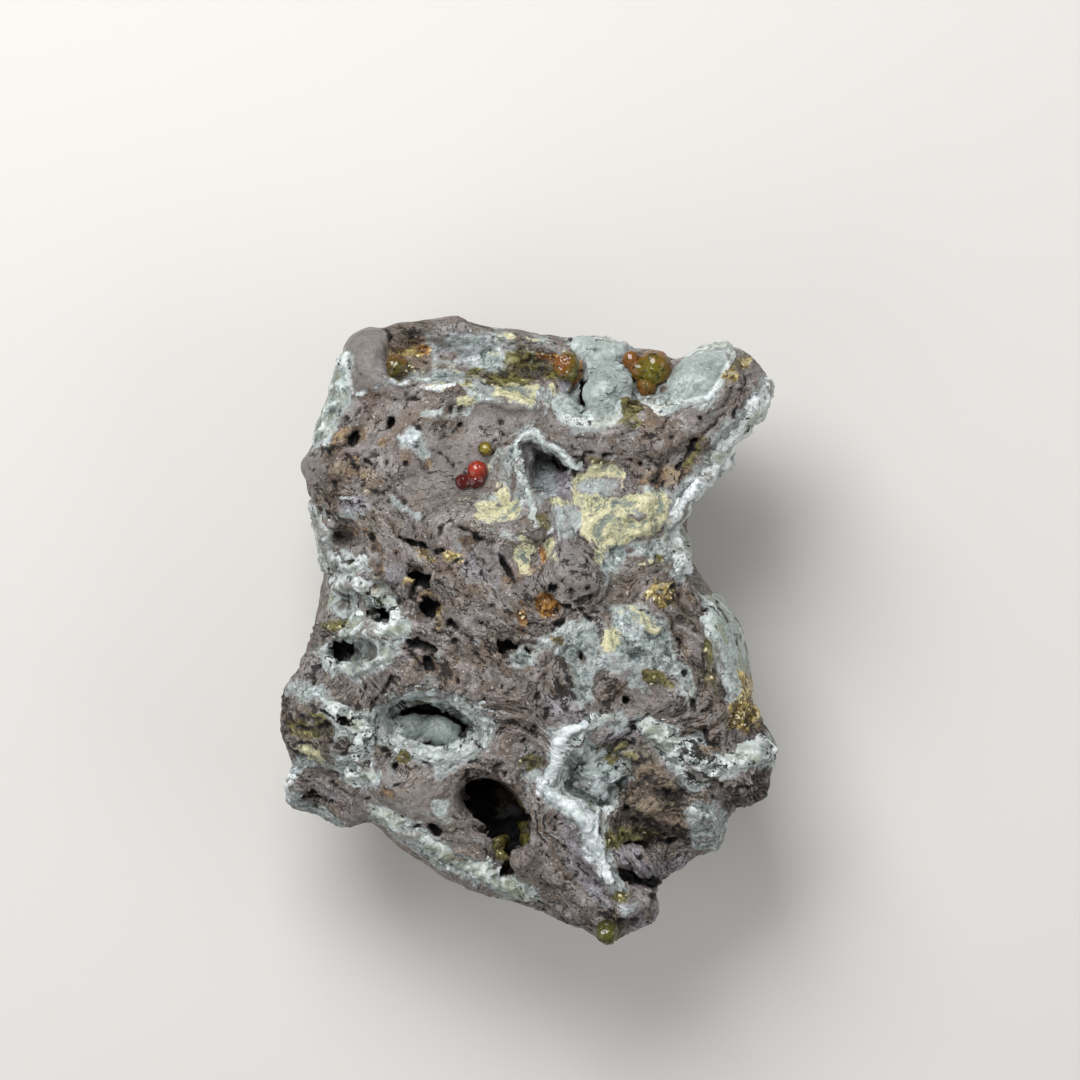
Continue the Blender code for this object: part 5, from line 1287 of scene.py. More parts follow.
@dataclass(frozen=True)
class StoneFinish:
    """Vesicular iron-rich rock, broken and unpolished: dull, drawn-out grain, with stains and painted shade.
    """

    name: str = "vesicular_iron_rock_broken"
    base: tuple[tuple[float, str], ...] = (
        (0.26, "#433b34"), (0.40, "#67605a"), (0.50, "#7d7570"), (0.60, "#8f8885"), (0.76, "#b5aeaa"))
    rough: float = 0.58
    uneven: float = 0.15        # how far the roughness goes up and down
    bumpy: float = 0.9
    crusted: bool = False

    def material(self) -> bpy.types.Material:
        """Build the stone's material."""
        finish = bpy.data.materials.new(self.name)
        finish.use_nodes = True
        tree = finish.node_tree
        shader = tree.nodes["Principled BSDF"]
        rock = Rock(tree)
        colour = self.ground_colour(rock)
        gloss = add_node(tree, "ShaderNodeMix", {0: rock.fine, 2: self.rough - self.uneven,
                                                 3: self.rough + self.uneven}).outputs[0]
        # The grounds' tone follows the relief in part: painted shade in hollows, painted light on crests.
        high = weighed(tree, (rock.middle, 0.8), (rock.fine, 0.7), (rock.loose_chip, 0.22),
                       (rock.loose_bit, 0.18), (rock.relief, 0.35), (None, -0.62))
        for ground in GROUNDS:
            if ground.tint is Tint.PALE:
                # Painted black shadow in the tiny pores of the shader.
                colour = stain_or_painted_light(tree, colour, "#150f0d", rock.pore)
                if self.crusted:
                    continue
            depth = rock.depth_of(ground.tint.value, ground.ragged)
            own = shades(tree, high, ground.stops)
            if ground.rim:
                own = stain_or_painted_light(tree, own, ground.rim, depth, 0.5, 0.15, 0.7)
            # Painted glints: a pale cream colour on a share of the little faces.
            if ground.glints:
                least = 1.0 - ground.glints
                own = stain_or_painted_light(tree, own, "#f8ecc0", rock.bit, least, least + 0.02, 0.8)
            amount = add_node(tree, "ShaderNodeMapRange",
                              {0: depth, 1: -ground.soft, 2: ground.soft}).outputs[0]
            colour = stain_or_painted_light(tree, colour, own, amount)
            gloss = add_node(tree, "ShaderNodeMix", {0: amount, 2: gloss, 3: ground.rough}).outputs[0]
        # Painted shade in pits and pockets.
        colour = stain_or_painted_light(tree, colour, "#1d1a18", weighed(tree, (rock.shade, 0.75)))
        # Holes, cracks and pores: red-brown at their rims, then black inside as painted shadow.
        dark = rock.depth_of(Tint.DARK.value, 0.30)
        colour = stain_or_painted_light(tree, colour, "#3f2a22", dark, -0.22, 0.0, 0.5)
        colour = stain_or_painted_light(tree, colour, "#0e0a09", dark, -0.07, 0.07)
        tree.links.new(colour, shader.inputs["Base Color"])
        tree.links.new(gloss, shader.inputs["Roughness"])
        height = weighed(tree, (rock.middle, 0.5), (rock.fine, 0.6), (rock.grit, 0.5),
                         (rock.loose_chip, 0.30), (rock.pore, -1.2), (rock.curl, -0.5))
        height = add_node(tree, "ShaderNodeMath", {0: height, 1: rock.loose}, operation="MULTIPLY").outputs[0]
        bump = add_node(tree, "ShaderNodeBump", {"Height": height, "Strength": self.bumpy,
                                                 "Distance": 0.30 * MM, "Normal": rock.facets(0.34, 0.26)})
        tree.links.new(bump.outputs[0], shader.inputs["Normal"])
        if self.crusted:
            shader.inputs["Subsurface Weight"].default_value = 0.3
            shader.inputs["Subsurface Radius"].default_value = (1.0, 1.0, 1.0)
            shader.inputs["Subsurface Scale"].default_value = 0.5 * MM
        return finish

    def ground_colour(self, rock: "Rock") -> Socket:
        """The colour of the bare rock."""
        tree = rock.tree
        tone = weighed(tree, (rock.broad, 0.40), (rock.middle, 0.45), (rock.fine, 0.35),
                       (rock.loose_chip, 0.16), (rock.loose_bit, 0.16), (rock.grit, 0.25), (None, -0.385))
        colour = shades(tree, tone, self.base)
        for field, start, end, most, code in (
                (rock.wide, 0.50, 0.66, 0.6, "#6d5b47"), (rock.wide, 0.46, 0.32, 0.6, "#7f777c"),
                (rock.hue, 0.80, 0.95, 0.5, "#94999a"), (rock.hue, 0.22, 0.05, 0.5, "#64503c"),
                # the relief line is painted shade, darker where the surface lies low
                (rock.relief, 0.40, 0.10, 0.55, "#2b2320"), (rock.thread, 0.0, 1.0, 0.6, "#b9b0ac"),
                (rock.scratch, 0.0, 1.0, 0.75, "#2e2622"), (rock.curl, 0.0, 1.0, 0.8, "#1d1714"),
                (rock.fleck, 0.0, 1.0, 1.0, "#c9c6c4"), (rock.ragged, 0.60, 0.66, 0.3, "#5a3c2c")):
            colour = stain_or_painted_light(tree, colour, code, field, start, end, most)
        return colour


@dataclass(frozen=True)
class CrustFinish(StoneFinish):
    """Sugary chalcedony, grown and uncut: blue-grey in hollows, near white on crests, largely painted shade
    and light.
    """

    name: str = "blue_grey_chalcedony_grown"
    base: tuple[tuple[float, str], ...] = (
        (0.22, "#414947"), (0.40, "#727c78"), (0.56, "#96a19e"), (0.72, "#b6c1bf"), (0.92, "#e9efef"))
    rough: float = 0.36
    bumpy: float = 0.5
    crusted: bool = True

    def ground_colour(self, rock: "Rock") -> Socket:
        """The colour of the clean crust."""
        tree = rock.tree
        # The tone follows the relief most: painted shade in hollows, painted light on crests.
        tone = weighed(tree, (rock.wide, 0.45), (rock.middle, 0.40), (rock.grit, 0.20), (rock.relief, 0.70),
                       (rock.loose_chip, 0.08), (rock.loose_bit, 0.16), (None, -0.48))
        colour = shades(tree, tone, self.base)
        bare = add_node(tree, "ShaderNodeMix", {0: rock.loose, 2: 0.48, 3: rock.broad}).outputs[0]
        for field, start, end, most, code in (
                (bare, 0.53, 0.62, 0.65, "#888b70"), (bare, 0.46, 0.39, 0.85, "#716a64"),
                (rock.thread, 0.0, 1.0, 0.5, "#e9efee"), (rock.scratch, 0.0, 1.0, 0.7, "#3f403b"),
                # the pore line is painted shadow in the tiny pores
                (rock.pore, 0.0, 1.0, 0.55, "#2f332f")):
            colour = stain_or_painted_light(tree, colour, code, field, start, end, most)
        rim = weighed(tree, (rock.rim, 1.0), (rock.ragged, 2.0), (None, -1.0))
        return stain_or_painted_light(tree, colour, "#d3dbda", rim, 0.8, 0.2, 0.55)


class Rock:
    """The shared noises of the stone's materials, all sized in millimetres."""

    def __init__(self, tree: Tree) -> None:
        """Add the noises to a material's nodes."""
        self.tree = tree
        place = add_node(tree, "ShaderNodeTexCoord").outputs["Object"]
        self.place = add_node(tree, "ShaderNodeVectorMath", {0: place, "Scale": 1.0 / MM},
                              operation="SCALE").outputs[0]
        self.grain = add_node(tree, "ShaderNodeAttribute", attribute_name="grain").outputs["Vector"]
        swirl = add_node(tree, "ShaderNodeTexNoise",
                         {"Vector": self.place, "Scale": 0.7, "Detail": 3.0, "Roughness": 0.6})
        shift = add_node(tree, "ShaderNodeVectorMath", {0: swirl.outputs["Color"], 1: (0.5, 0.5, 0.5)},
                         operation="SUBTRACT").outputs[0]
        shift = add_node(tree, "ShaderNodeVectorMath", {0: shift, "Scale": 1.7}, operation="SCALE").outputs[0]
        warped = add_node(tree, "ShaderNodeVectorMath", {0: self.grain, 1: shift}, operation="ADD").outputs[0]
        self.drawn = add_node(tree, "ShaderNodeVectorMath", {0: warped, 1: (0.42, 1.0, 0.9)},
                              operation="MULTIPLY").outputs[0]
        self.wide = self.noise(self.place, 6.0, 3.0)
        self.broad = self.noise(self.drawn, 2.6, 3.0)
        self.middle = self.noise(self.drawn, 1.0, 3.0)
        self.fine = self.noise(self.drawn, 0.42, 2.0)
        self.grit = self.noise(self.place, 0.26, 2.0)
        self.ragged = self.noise(self.drawn, 1.7, 5.0)
        self.relief, self.shade, self.rim, self.flaky, calm = (
            add_node(tree, "ShaderNodeAttribute", attribute_name=name).outputs["Fac"]
            for name in ("relief", "shade", "rim", "flaky", "calm"))
        self.loose = add_node(tree, "ShaderNodeMapRange", {0: calm, 3: 1.0, 4: 0.2}).outputs[0]
        chips = self.cells(self.drawn, 0.75)
        self.chip, self.hue = chips.outputs[0], chips.outputs[1]
        self.bit = self.cells(self.place, 0.36).outputs[0]
        self.loose_chip, self.loose_bit = (
            add_node(tree, "ShaderNodeMix", {0: self.loose, 2: 0.5, 3: own}).outputs[0]
            for own in (self.chip, self.bit))
        self.pore = self.pores()
        self.thread = self.line(self.middle, 0.5, 0.018, self.ragged, 0.50)
        self.scratch = self.line(self.broad, 0.47, 0.012, self.grit, 0.46)
        self.curl = self.curls()
        self.fleck = self.flecks()

    def noise(self, place: Socket, size: float, detail: float) -> Socket:
        """A noise of a grain size in millimetres, about 0.3 to 0.7."""
        node = add_node(self.tree, "ShaderNodeTexNoise",
                        {"Vector": place, "Scale": 1.0 / size, "Detail": detail, "Roughness": 0.62})
        return node.outputs[0]

    def depth_of(self, name: str, wander: float) -> Socket:
        """The depth inside a ground's edge, in millimetres, with an edge that wanders.

        Args:
            name: the attribute that holds the depth.
            wander: how far the edge wanders, in millimetres.

        Returns:
            The socket that gives the depth.
        """
        depth = add_node(self.tree, "ShaderNodeAttribute", attribute_name=name).outputs["Fac"]
        return weighed(self.tree, (depth, 1.0), (self.ragged, 2.0 * wander), (None, -wander))

    def cells(self, place: Socket, size: float) -> bpy.types.Node:
        """Three numbers from 0 to 1 of its own for each flat little face of a size in millimetres."""
        cells = add_node(self.tree, "ShaderNodeTexVoronoi", {"Vector": place, "Scale": 1.0 / size})
        return add_node(self.tree, "ShaderNodeSeparateColor", {0: cells.outputs["Color"]})

    def pores(self) -> Socket:
        """Tiny drawn-out pores, jagged and in clusters; the finishes paint them black as their shadow."""
        gate = weighed(self.tree, (self.wide, 0.50), (self.ragged, 0.25), (self.flaky, 0.085), (None, -0.080))
        large = weighed(self.tree, (gate, 1.0), (self.noise(self.drawn, 0.75, 4.0), -1.0))
        small = weighed(self.tree, (gate, 1.0), (self.fine, -1.0), (None, -0.035))
        either = add_node(self.tree, "ShaderNodeMath", {0: large, 1: small}, operation="MAXIMUM").outputs[0]
        hole = add_node(self.tree, "ShaderNodeMapRange", {0: either, 1: -0.012, 2: 0.012, 4: 0.95}).outputs[0]
        loose = add_node(self.tree, "ShaderNodeMapRange", {0: self.loose, 1: 0.2, 2: 0.5}).outputs[0]
        return add_node(self.tree, "ShaderNodeMath", {0: hole, 1: loose}, operation="MULTIPLY").outputs[0]

    def curls(self) -> Socket:
        """Thin dark lines that run side by side and curl, most of them in flaky rock."""
        bent = self.noise(self.drawn, 2.4, 1.0)
        folded = add_node(self.tree, "ShaderNodeMath", {0: bent, 1: 0.045}, operation="PINGPONG").outputs[0]
        gate = weighed(self.tree, (self.middle, 1.0), (self.flaky, 0.06))
        return self.line(folded, 0.0, 0.012, gate, 0.56)

    def line(self, noise: Socket, middle: float, width: float, gate: Socket, least: float) -> Socket:
        """Thin short lines where a noise crosses a value.

        Args:
            noise: the noise they follow.
            middle: the value it crosses.
            width: how far off that value they reach.
            gate: a noise that breaks them up.
            least: the gate's least value for a line.

        Returns:
            The socket that gives 1 on a line.
        """
        off = weighed(self.tree, (noise, 1.0), (None, -middle))
        near = add_node(self.tree, "ShaderNodeMath", {0: off}, operation="ABSOLUTE").outputs[0]
        thin = add_node(self.tree, "ShaderNodeMapRange", {0: near, 1: width, 2: 0.3 * width}).outputs[0]
        open_here = add_node(self.tree, "ShaderNodeMapRange", {0: gate, 1: least, 2: least + 0.05}).outputs[0]
        return add_node(self.tree, "ShaderNodeMath", {0: thin, 1: open_here}, operation="MULTIPLY").outputs[0]

    def flecks(self) -> Socket:
        """Tiny ragged pale crystals."""
        ragged = self.noise(self.place, 0.5, 4.0)
        high = weighed(self.tree, (ragged, 1.0), (self.broad, 0.2))
        return add_node(self.tree, "ShaderNodeMapRange", {0: high, 1: 0.745, 2: 0.775, 4: 0.85}).outputs[0]

    def facets(self, size: float, tilt: float) -> Socket:
        """Directions of tiny crystal faces, each cell with its own tilt.

        Args:
            size: the faces' width in millimetres.
            tilt: how far they lean.

        Returns:
            The socket that gives the direction.
        """
        tree = self.tree
        cells = add_node(tree, "ShaderNodeTexVoronoi", {"Vector": self.place, "Scale": 1.0 / size})
        lean = add_node(tree, "ShaderNodeVectorMath", {0: cells.outputs["Color"], 1: (0.5, 0.5, 0.5)},
                        operation="SUBTRACT").outputs[0]
        lean = add_node(tree, "ShaderNodeVectorMath", {0: lean, "Scale": tilt}, operation="SCALE").outputs[0]
        normal = add_node(tree, "ShaderNodeNewGeometry").outputs["Normal"]
        both = add_node(tree, "ShaderNodeVectorMath", {0: normal, 1: lean}, operation="ADD").outputs[0]
        return add_node(tree, "ShaderNodeVectorMath", {0: both}, operation="NORMALIZE").outputs[0]


def weighed(tree: Tree, *parts: tuple[Any, float]) -> Socket:
    """Add numbers up, each with its weight.

    Args:
        tree: the material's nodes.
        parts: sockets with weights; None stands for the number one.

    Returns:
        The socket that gives the sum.
    """
    total = add_node(tree, "ShaderNodeMath", {0: 0.0, 1: 0.0}, operation="ADD").outputs[0]
    for socket, weight in parts:
        if socket is None:
            total = add_node(tree, "ShaderNodeMath", {0: total, 1: weight}, operation="ADD").outputs[0]
        else:
            total = add_node(tree, "ShaderNodeMath", {0: socket, 1: weight, 2: total},
                             operation="MULTIPLY_ADD").outputs[0]
    return total


def shades(tree: Tree, tone: Socket, stops: Sequence[tuple[float, str]]) -> Socket:
    """The colour that a tone has between a ground's darkest and lightest.

    Args:
        tree: the material's nodes.
        tone: the socket that gives the tone.
        stops: tones with their colours, the darkest first.

    Returns:
        The socket that gives the colour.
    """
    node = add_node(tree, "ShaderNodeValToRGB", {0: tone})
    ramp = node.color_ramp
    ramp.elements[0].position, ramp.elements[0].color = stops[0][0], srgb(stops[0][1])
    ramp.elements[1].position, ramp.elements[1].color = stops[-1][0], srgb(stops[-1][1])
    for place, code in stops[1:-1]:
        ramp.elements.new(place).color = srgb(code)
    return node.outputs[0]


def stain_or_painted_light(tree: Tree, colour: Any, top_colour: Any, field: Socket,
            start: float = 0.0, end: float = 1.0, most: float = 1.0) -> Socket:
    """Lay one colour over another where a field goes from one value to another, for real colours and for
    painted shade and glints.

    Args:
        tree: the material's nodes.
        colour: the colour under it, or its socket.
        top_colour: the colour on top as #rrggbb, or its socket.
        field: the socket that says where.
        start: the field's value where the colour on top begins.
        end: the field's value where it is strongest.
        most: its share there.

    Returns:
        The socket that gives the mixed colour.
    """
    amount = add_node(tree, "ShaderNodeMapRange", {0: field, 1: start, 2: end, 4: most}).outputs[0]
    top = srgb(top_colour) if isinstance(top_colour, str) else top_colour
    return add_node(tree, "ShaderNodeMix", {0: amount, 6: colour, 7: top}, data_type="RGBA").outputs[2]


@dataclass(frozen=True)
class BeadFinish:
    """Glossy glassy bead, see-through at its rim, with a darker or warmer heart."""

    name: str
    heart: str
    rim: str
    spot: Point
    reach: float
    deep: str = "#2e2410"       # the colour of its cloudy depths
    clear: float = 0.45
    rough: float = 0.06

    def material(self) -> bpy.types.Material:
        """Build the bead's material."""
        finish = bpy.data.materials.new(self.name)
        finish.use_nodes = True
        tree = finish.node_tree
        shader = tree.nodes["Principled BSDF"]
        place = add_node(tree, "ShaderNodeTexCoord").outputs["Object"]
        small = add_node(tree, "ShaderNodeVectorMath", {0: place, "Scale": 1.0 / MM},
                         operation="SCALE").outputs[0]
        middle = (self.spot[0] + SHEET_IN_FRAME[0], self.spot[1] + SHEET_IN_FRAME[1], 0.0)
        away = add_node(tree, "ShaderNodeVectorMath", {0: small, 1: middle}, operation="SUBTRACT").outputs[0]
        flat = add_node(tree, "ShaderNodeVectorMath", {0: away, 1: (1.0, 1.0, 0.0)},
                        operation="MULTIPLY").outputs[0]
        far = add_node(tree, "ShaderNodeVectorMath", {0: flat}, operation="LENGTH").outputs["Value"]
        cloudy = add_node(tree, "ShaderNodeTexNoise",
                          {"Vector": small, "Scale": 1.3, "Detail": 3.0}).outputs[0]
        share = weighed(tree, (far, 1.0 / self.reach), (cloudy, 1.2), (None, -0.6))
        colour = stain_or_painted_light(tree, srgb(self.heart), self.rim, share, 0.35, 1.0)
        colour = stain_or_painted_light(tree, colour, self.deep, cloudy, 0.47, 0.34, 0.8)
        tree.links.new(colour, shader.inputs["Base Color"])
        shader.inputs["Roughness"].default_value = self.rough
        shader.inputs["IOR"].default_value = 1.54
        shader.inputs["Transmission Weight"].default_value = self.clear
        bump = add_node(tree, "ShaderNodeBump", {"Height": cloudy, "Strength": 0.25, "Distance": 0.3 * MM})
        tree.links.new(bump.outputs[0], shader.inputs["Normal"])
        return finish


@dataclass(frozen=True)
class Bead:
    """A glossy bead or a fused cluster of them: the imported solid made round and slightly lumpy."""

    node: str
    slot: str
    finish: BeadFinish
    voxel: float = 0.14         # the mesh's grain, in millimetres
    smoothing: int = 12
    lumps: float = 0.12         # how far its surface goes up and down, in millimetres

    def build(self) -> Piece:
        """Make the bead's visible mesh, still without its material."""
        piece = remeshed(self.node, self.node + "_glossy", self.voxel, self.smoothing)
        points = sheet_points(piece)
        normals = point_normals(piece)
        noise = Noise(5)
        _, _, number, plane = noise.cells(points, 1.7)
        rise = 0.16 + self.lumps * (noise.layered(points, 1.4, 3) + 0.8 * plane + 0.6 * (number - 0.5))
        write_points(piece, points + normals * rise[:, None])
        shade_smooth(piece)
        return piece


BEADS = (
    Bead("amber_beads", "amber", BeadFinish("amber_glass_bead_grown", "#80791c", "#96622a", (16, 33.8),
         2.9), lumps=0.22),
    Bead("amber_drop", "amber", BeadFinish("amber_olive_drop_grown", "#9a5f1f", "#6d681f", (4.3, 34.8),
         1.9), lumps=0.35),
    Bead("olive_bead", "olive", BeadFinish("olive_bead_grown", "#6a6424", "#7d5a26", (-17.2, 34.2), 1.5),
         lumps=0.3),
    # The red beads' dark red rim is painted shade round the bright red heart.
    Bead("red_beads", "red", BeadFinish("red_glass_bead_grown", "#bb412c", "#5a0f0d", (-6.8, 21.4), 1.9,
         "#4a0a08", 0.35), lumps=0.18),
    Bead("yellow_bead", "yellow", BeadFinish("yellow_bead_grown", "#a5942a", "#6f5b1c", (-5.6, 23.9), 1),
         lumps=0.2),
    Bead("tip_bead", "olive", BeadFinish("olive_tip_bead_grown", "#6b6a20", "#45421b", (10, -39), 1.6),
         lumps=0.35),
)

CRUSTS = (
    Crust("upper_crust", (loop(4.3, 38.4, 10, 38.8, 12.6, 37.6, 14.2, 36.8, 12, 35.4, 14.6, 32.6, 15, 31.2,
          17.6, 31, 18, 33, 19.4, 34.8, 23, 37.4, 27, 38, 26.4, 35.4, 25, 32, 23.3, 29.7, 20.6, 29.2,
          17.8, 28, 16.6, 28, 15, 30, 13.6, 30.5, 12.6, 29.4, 11.7, 27, 9, 25.9, 5.9, 26.4, 3.4, 28,
          2.4, 30.6, 6.4, 31.4, 7.3, 34.2, 6, 36.2),),
          knobs=(Knob(Disc(10.3, 31, 3, 3.8), 2), Knob(Disc(21.6, 33, 5, 3.4, 30), 0.6, 1), Knob(Disc(9.2,
                  35.8, 2.3, 1.8), 0.8, 1), Knob(Disc(4.9, 29.3, 1.9, 1.7), 0.8), Knob(Disc(7, 37, 1.7,
                  1.2), 0.6), Knob(Disc(12, 36.6, 1.5, 1), 0.6)),
          ridges=(Ridge(line(0.45, 3.5, 28.2, 5.9, 26.9, 9, 26.4, 11.6, 27.3, 12.7, 29.3, 13.4, 30,
                  15.1, 29.6, 16.8, 28.1, 17.8, 28.4, 20.6, 29.6, 23.3, 30.1, 25.2, 32.6, 26.6, 36), 0.5),
                  Ridge(line(0.5, 20.5, 36, 23, 37, 25.6, 37.2), 0.4)),
          coarse=1.7, lumps=0.16, sugar=0.12, net=0.2, gappy=0.0, tone=0.05),
    Crust("arch_crust", (line(0.62, 0.9, 13.8, 0.3, 15, 0.5, 16.8, 0, 18, -0.8, 19.5, -1.3, 21.5,
          -1.7, 23.5, -1.2, 25.2, 0, 26, 1, 25.5, 2, 24.2, 3.5, 23.5, 5, 22.4, 6, 21.4),),
          edge=0.6, net=0.0, gappy=0.0, tone=0.15),
    Crust("arm_edge_crust", (line(1.2, 31.2, 32.2, 30.8, 30.2, 28.4, 27, 25.8, 24.6, 25.2, 21.8, 22.6, 19.4,
          20.4, 17, 18.8, 13.8, 20, 11, 19.9, 8.6), Disc(29.8, 28.6, 2, 2.4), Disc(25.4, 22.8, 2, 2.5),
          Disc(20, 11.4, 1.9, 2.2)),
          low=14.0, coarse=1.8, lumps=0.35, sugar=0.12, net=0.1, gappy=0.0, tone=0.3, white=0.35),
    Crust("left_edge_crust", (loop(-25.6, 36.9, -22.9, 36.4, -22.8, 34.4, -23.4, 33.2, -22.9, 31.6,
          -23.2, 30, -24.6, 28.6, -25.3, 26.6, -26, 24.4, -28.4, 24.4, -28, 28, -26.8, 30.4, -26.4, 34),),
          tone=-0.05),
    Crust("left_pocket_crust", (loop(-26.2, 7.2, -22, 7.4, -19.4, 6.2, -16.8, 3, -15.4, 0.6, -16.8, -1.6,
          -17, -3, -19.4, -4.8, -22.4, -6.6, -25.4, -5.2, -27.8, -2.6, -24.6, -0.4, -24.2, 1.8, -26.4, 3),
          loop(-31, 18.6, -28.4, 17.4, -27, 15.2, -25.6, 12.8, -25.6, 10.8, -23.2, 9.8, -21, 9.6,
          -21.6, 7.8, -25.6, 6.8, -29, 8.4, -31.5, 13)),
          ridges=(Ridge(line(0.7, -25.8, 6.6, -23.4, 6.9, -20.6, 6, -18.4, 4.2, -16.8, 2, -17.4, 0.6,
                  -20.6, 0.8, -21.6, 2.4, -21, 4.6), 0.3), Ridge(line(0.5, -27, -2.2, -25.4, -0.4,
                  -22.4, 0.2, -19.8, -0.1, -18, -1.4, -18, -3, -20.2, -4.2, -22.6, -5.4, -25, -4.4,
                  -27, -2.2), 0.35)),
          low=15.0),
    Crust("oval_pocket_crust", (Disc(-12.2, -12.2, 7.6, 4.7, -6),),
          knobs=(Knob(Disc(-11.4, -12.7, 2.8, 2.3), 2.3), Knob(Disc(-15.8, -12.4, 2.3, 1.9), 1.9)),
          ridges=(Ridge(ring(Disc(-12.2, -12.2, 6.3, 3.7, -6), 0.55, 150, 420), 0.35),),
          low=10.0, tone=0.06),
    Crust("lower_left_crust", (loop(-28, -7.6, -24, -9, -21.6, -10.4, -20, -12.8, -20.6, -14.4,
          -20.2, -17.6, -19, -18.8, -20, -20, -24.4, -19.4, -23.8, -17, -22.4, -15.4, -22.6, -13,
          -24.6, -12, -26.4, -10.6),),
          net=0.35, tone=0.05),
    Crust("white_pocket_crust", (loop(3.2, -12.6, 7.2, -11.4, 8, -10.2, 12, -10.6, 12.4, -12, 9, -12.2,
          7.6, -13.2, 7.8, -15, 12, -16, 13.2, -18.2, 11.6, -19.4, 12.4, -20.6, 10.8, -21.6, 11.4, -23,
          10, -23.8, 10.4, -28, 11.4, -32, 12.4, -34, 11, -34, 8.5, -29.4, 6.2, -24.4, 3.2, -22.3,
          1.2, -20.2, 1.2, -19.2, 2.7, -17),),
          ridges=(Ridge(line(0.65, 7.1, -12, 5, -12.6, 3.4, -14.4, 3.3, -17, 1.7, -19.6, 2.4, -21.2,
                  5.2, -22.6, 7.3, -25.2, 8.6, -28.8, 10.4, -32.2), 0.6, 0.8), Ridge(line(0.5, 10.2, -23.2,
                  9.6, -25.6, 9.6, -28), 0.3, 0.8)),
          knobs=(Knob(Disc(8.6, -18.6, 4.8, 4, -20), 3.6, 0.8), Knob(Disc(6.6, -21.2, 2.6, 1.2, -25), 0.5,
                  1), Knob(Disc(8, -17, 3.4, 1.3, -10), 0.6, 1)),
          low=10.0, gappy=0.3, tone=0.08, slot="white_crust"),
    Crust("right_flank_crust", (loop(22.4, 5.2, 26, 4.6, 30.4, 1, 31.4, -5, 29, -9.4, 25.8, -9, 24.6, -5,
          23.5, -2, 22.8, 1.4),),
          low=9.0, lumps=0.09, net=0.05, gappy=0.3, tone=0.08),
    Crust("lower_right_crust", (loop(14.2, -11.2, 16.5, -11.5, 18.8, -11.8, 20.2, -13.6, 22, -13.2,
          23.4, -15.2, 26, -15.8, 28.6, -14.2, 31, -13.4, 32.8, -15, 32.2, -17.8, 29.9, -17.4, 27.5, -17.9,
          24, -19, 21.5, -20.5, 19.6, -19.6, 18.2, -17.6, 16, -15, 14.4, -13),),
          low=14.0, tone=0.05),
    Crust("bottom_crust", (line(1.3, -19.4, -23.6, -17, -25.2, -13.4, -27.4, -10, -30, -5.6, -31.2,
          -3.4, -32.8, 0, -34),),
          low=14.0),
)


@dataclass(frozen=True)
class FloorFinish:
    """Seamless pale backdrop paper, matt."""

    name: str = "backdrop_paper_matt"
    colour: str = "#d9d7d3"

    def material(self) -> bpy.types.Material:
        """Build the paper's material."""
        finish = bpy.data.materials.new(self.name)
        finish.use_nodes = True
        shader = finish.node_tree.nodes["Principled BSDF"]
        shader.inputs["Base Color"].default_value = srgb(self.colour)
        shader.inputs["Roughness"].default_value = 0.9
        return finish


# The studio

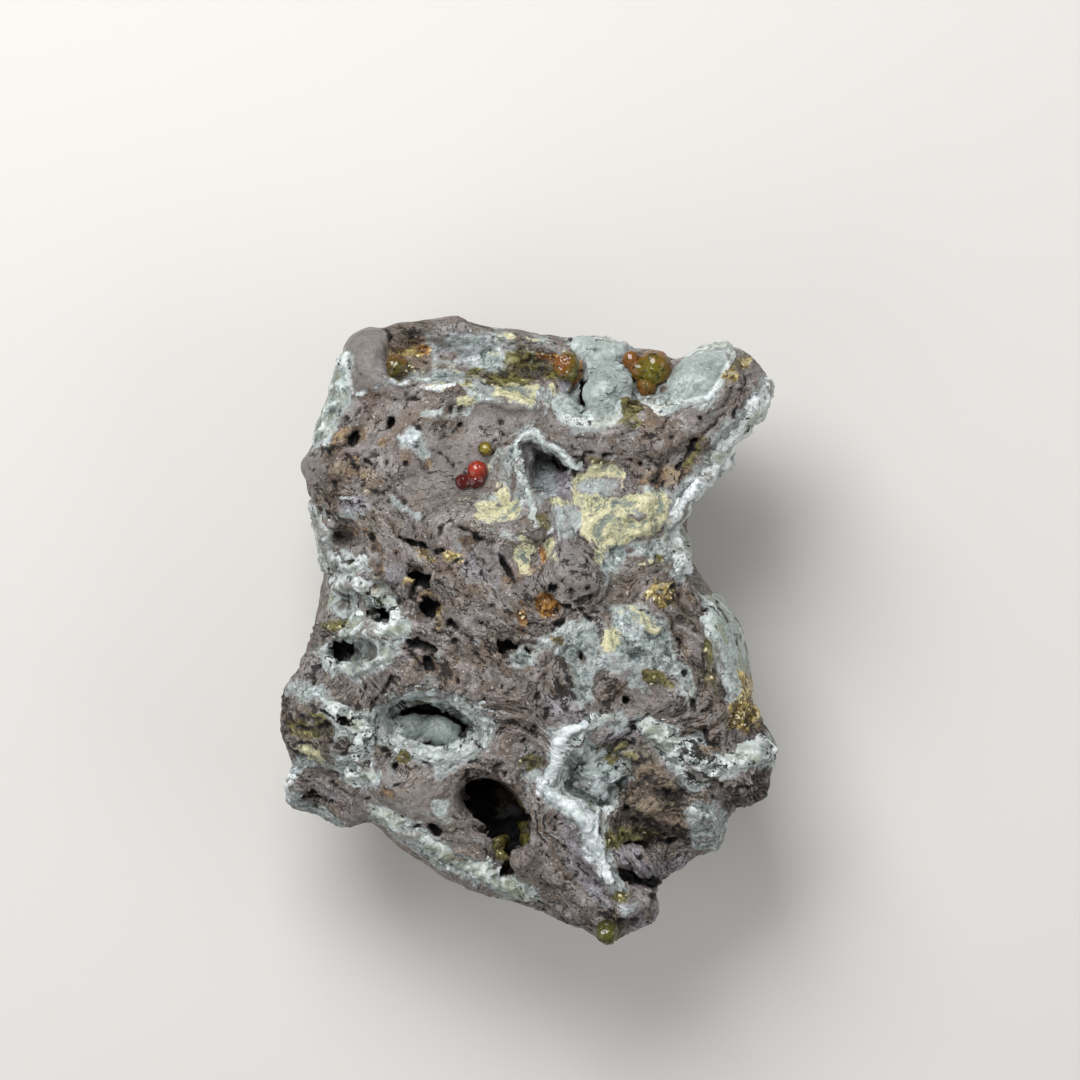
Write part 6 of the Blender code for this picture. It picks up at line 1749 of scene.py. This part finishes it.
@dataclass
class Studio:
    """Floor, camera and soft lights."""

    picture_mm: float = 140.4           # width of the view at the face's height
    view_middle: Point = (1.43, 11.96)  # the face sheet's place in the middle of the picture
    face_height: float = 28.0
    camera_away: float = 800.0
    sensor: float = 36.0

    def build(self) -> None:
        """Add the floor, the camera and the lights."""
        self.add_floor()
        self.add_camera()
        self.add_light("key", (-110, 260, 360), 260, 1.95)
        self.add_light("fill", (-280, -180, 260), 320, 0.42)
        self.add_light("rim", (320, -60, 240), 240, 0.36)
        self.add_sky()

    def add_floor(self) -> None:
        """Add the floor as a stage piece."""
        bpy.ops.mesh.primitive_plane_add(size=2400 * MM, location=(0, 0, 0))
        floor = bpy.context.active_object
        floor.name = "floor"
        bpy.ops.object.transform_apply(location=True, rotation=True, scale=True)
        floor.data.materials.append(FloorFinish().material())

    def add_camera(self) -> None:
        """Add the camera straight above the face, the face's top edge up."""
        data = bpy.data.cameras.new("camera")
        data.sensor_width = self.sensor
        data.lens = self.sensor * self.camera_away / self.picture_mm
        data.clip_start = 0.01
        camera = bpy.data.objects.new("camera", data)
        x = self.view_middle[0] + SHEET_IN_FRAME[0]
        y = self.view_middle[1] + SHEET_IN_FRAME[1]
        camera.location = (x * MM, y * MM, (self.face_height + self.camera_away) * MM)
        bpy.context.scene.collection.objects.link(camera)
        bpy.context.scene.camera = camera

    def add_light(self, name: str, place: tuple[float, float, float], size: float,
                  power: float) -> None:
        """Add a square soft light that faces the stone.

        Args:
            name: the light's name.
            place: where it hangs, in millimetres.
            size: its side, in millimetres.
            power: its power in watts.
        """
        data = bpy.data.lights.new(name, "AREA")
        data.size = size * MM
        data.energy = power
        lamp = bpy.data.objects.new(name, data)
        lamp.location = Vector(place) * MM
        target = Vector((0, 0, 20)) * MM
        lamp.rotation_euler = (target - lamp.location).to_track_quat("-Z", "Y").to_euler()
        bpy.context.scene.collection.objects.link(lamp)

    def add_sky(self) -> None:
        """Add a faint even light from all round."""
        world = bpy.data.worlds.new("sky")
        world.use_nodes = True
        ground = world.node_tree.nodes["Background"]
        ground.inputs["Color"].default_value = (1.0, 1.0, 1.0, 1.0)
        ground.inputs["Strength"].default_value = 0.28
        bpy.context.scene.world = world
        bpy.context.scene.view_settings.view_transform = "Standard"


def dress(piece: Piece, material: bpy.types.Material, slot: str, *nodes: str) -> None:
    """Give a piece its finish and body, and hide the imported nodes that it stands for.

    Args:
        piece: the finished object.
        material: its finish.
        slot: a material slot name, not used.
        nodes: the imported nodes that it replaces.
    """
    piece.data.materials.clear()
    piece.data.materials.append(material)
    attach(piece, BODY)
    if nodes:
        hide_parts(*nodes)
    LOG.info("%s: %d faces", piece.name, len(piece.data.polygons))


def main() -> None:
    """Build the studio and the specimen, piece by piece."""
    logging.basicConfig(level=logging.INFO, format="%(message)s")
    Studio().build()
    body = StoneBody()
    stone = body.fine_copy()
    smooth = stone.data.copy()
    dress(body.build(stone), StoneFinish().material(), "matrix", "matrix")
    chalcedony = CrustFinish().material()
    for crust in CRUSTS:
        dress(crust.build(smooth), chalcedony, crust.slot, crust.node)
    bpy.data.meshes.remove(smooth)
    for bead in BEADS:
        dress(bead.build(), bead.finish.material(), bead.slot, bead.node)


if __name__ == "__main__":
    main()
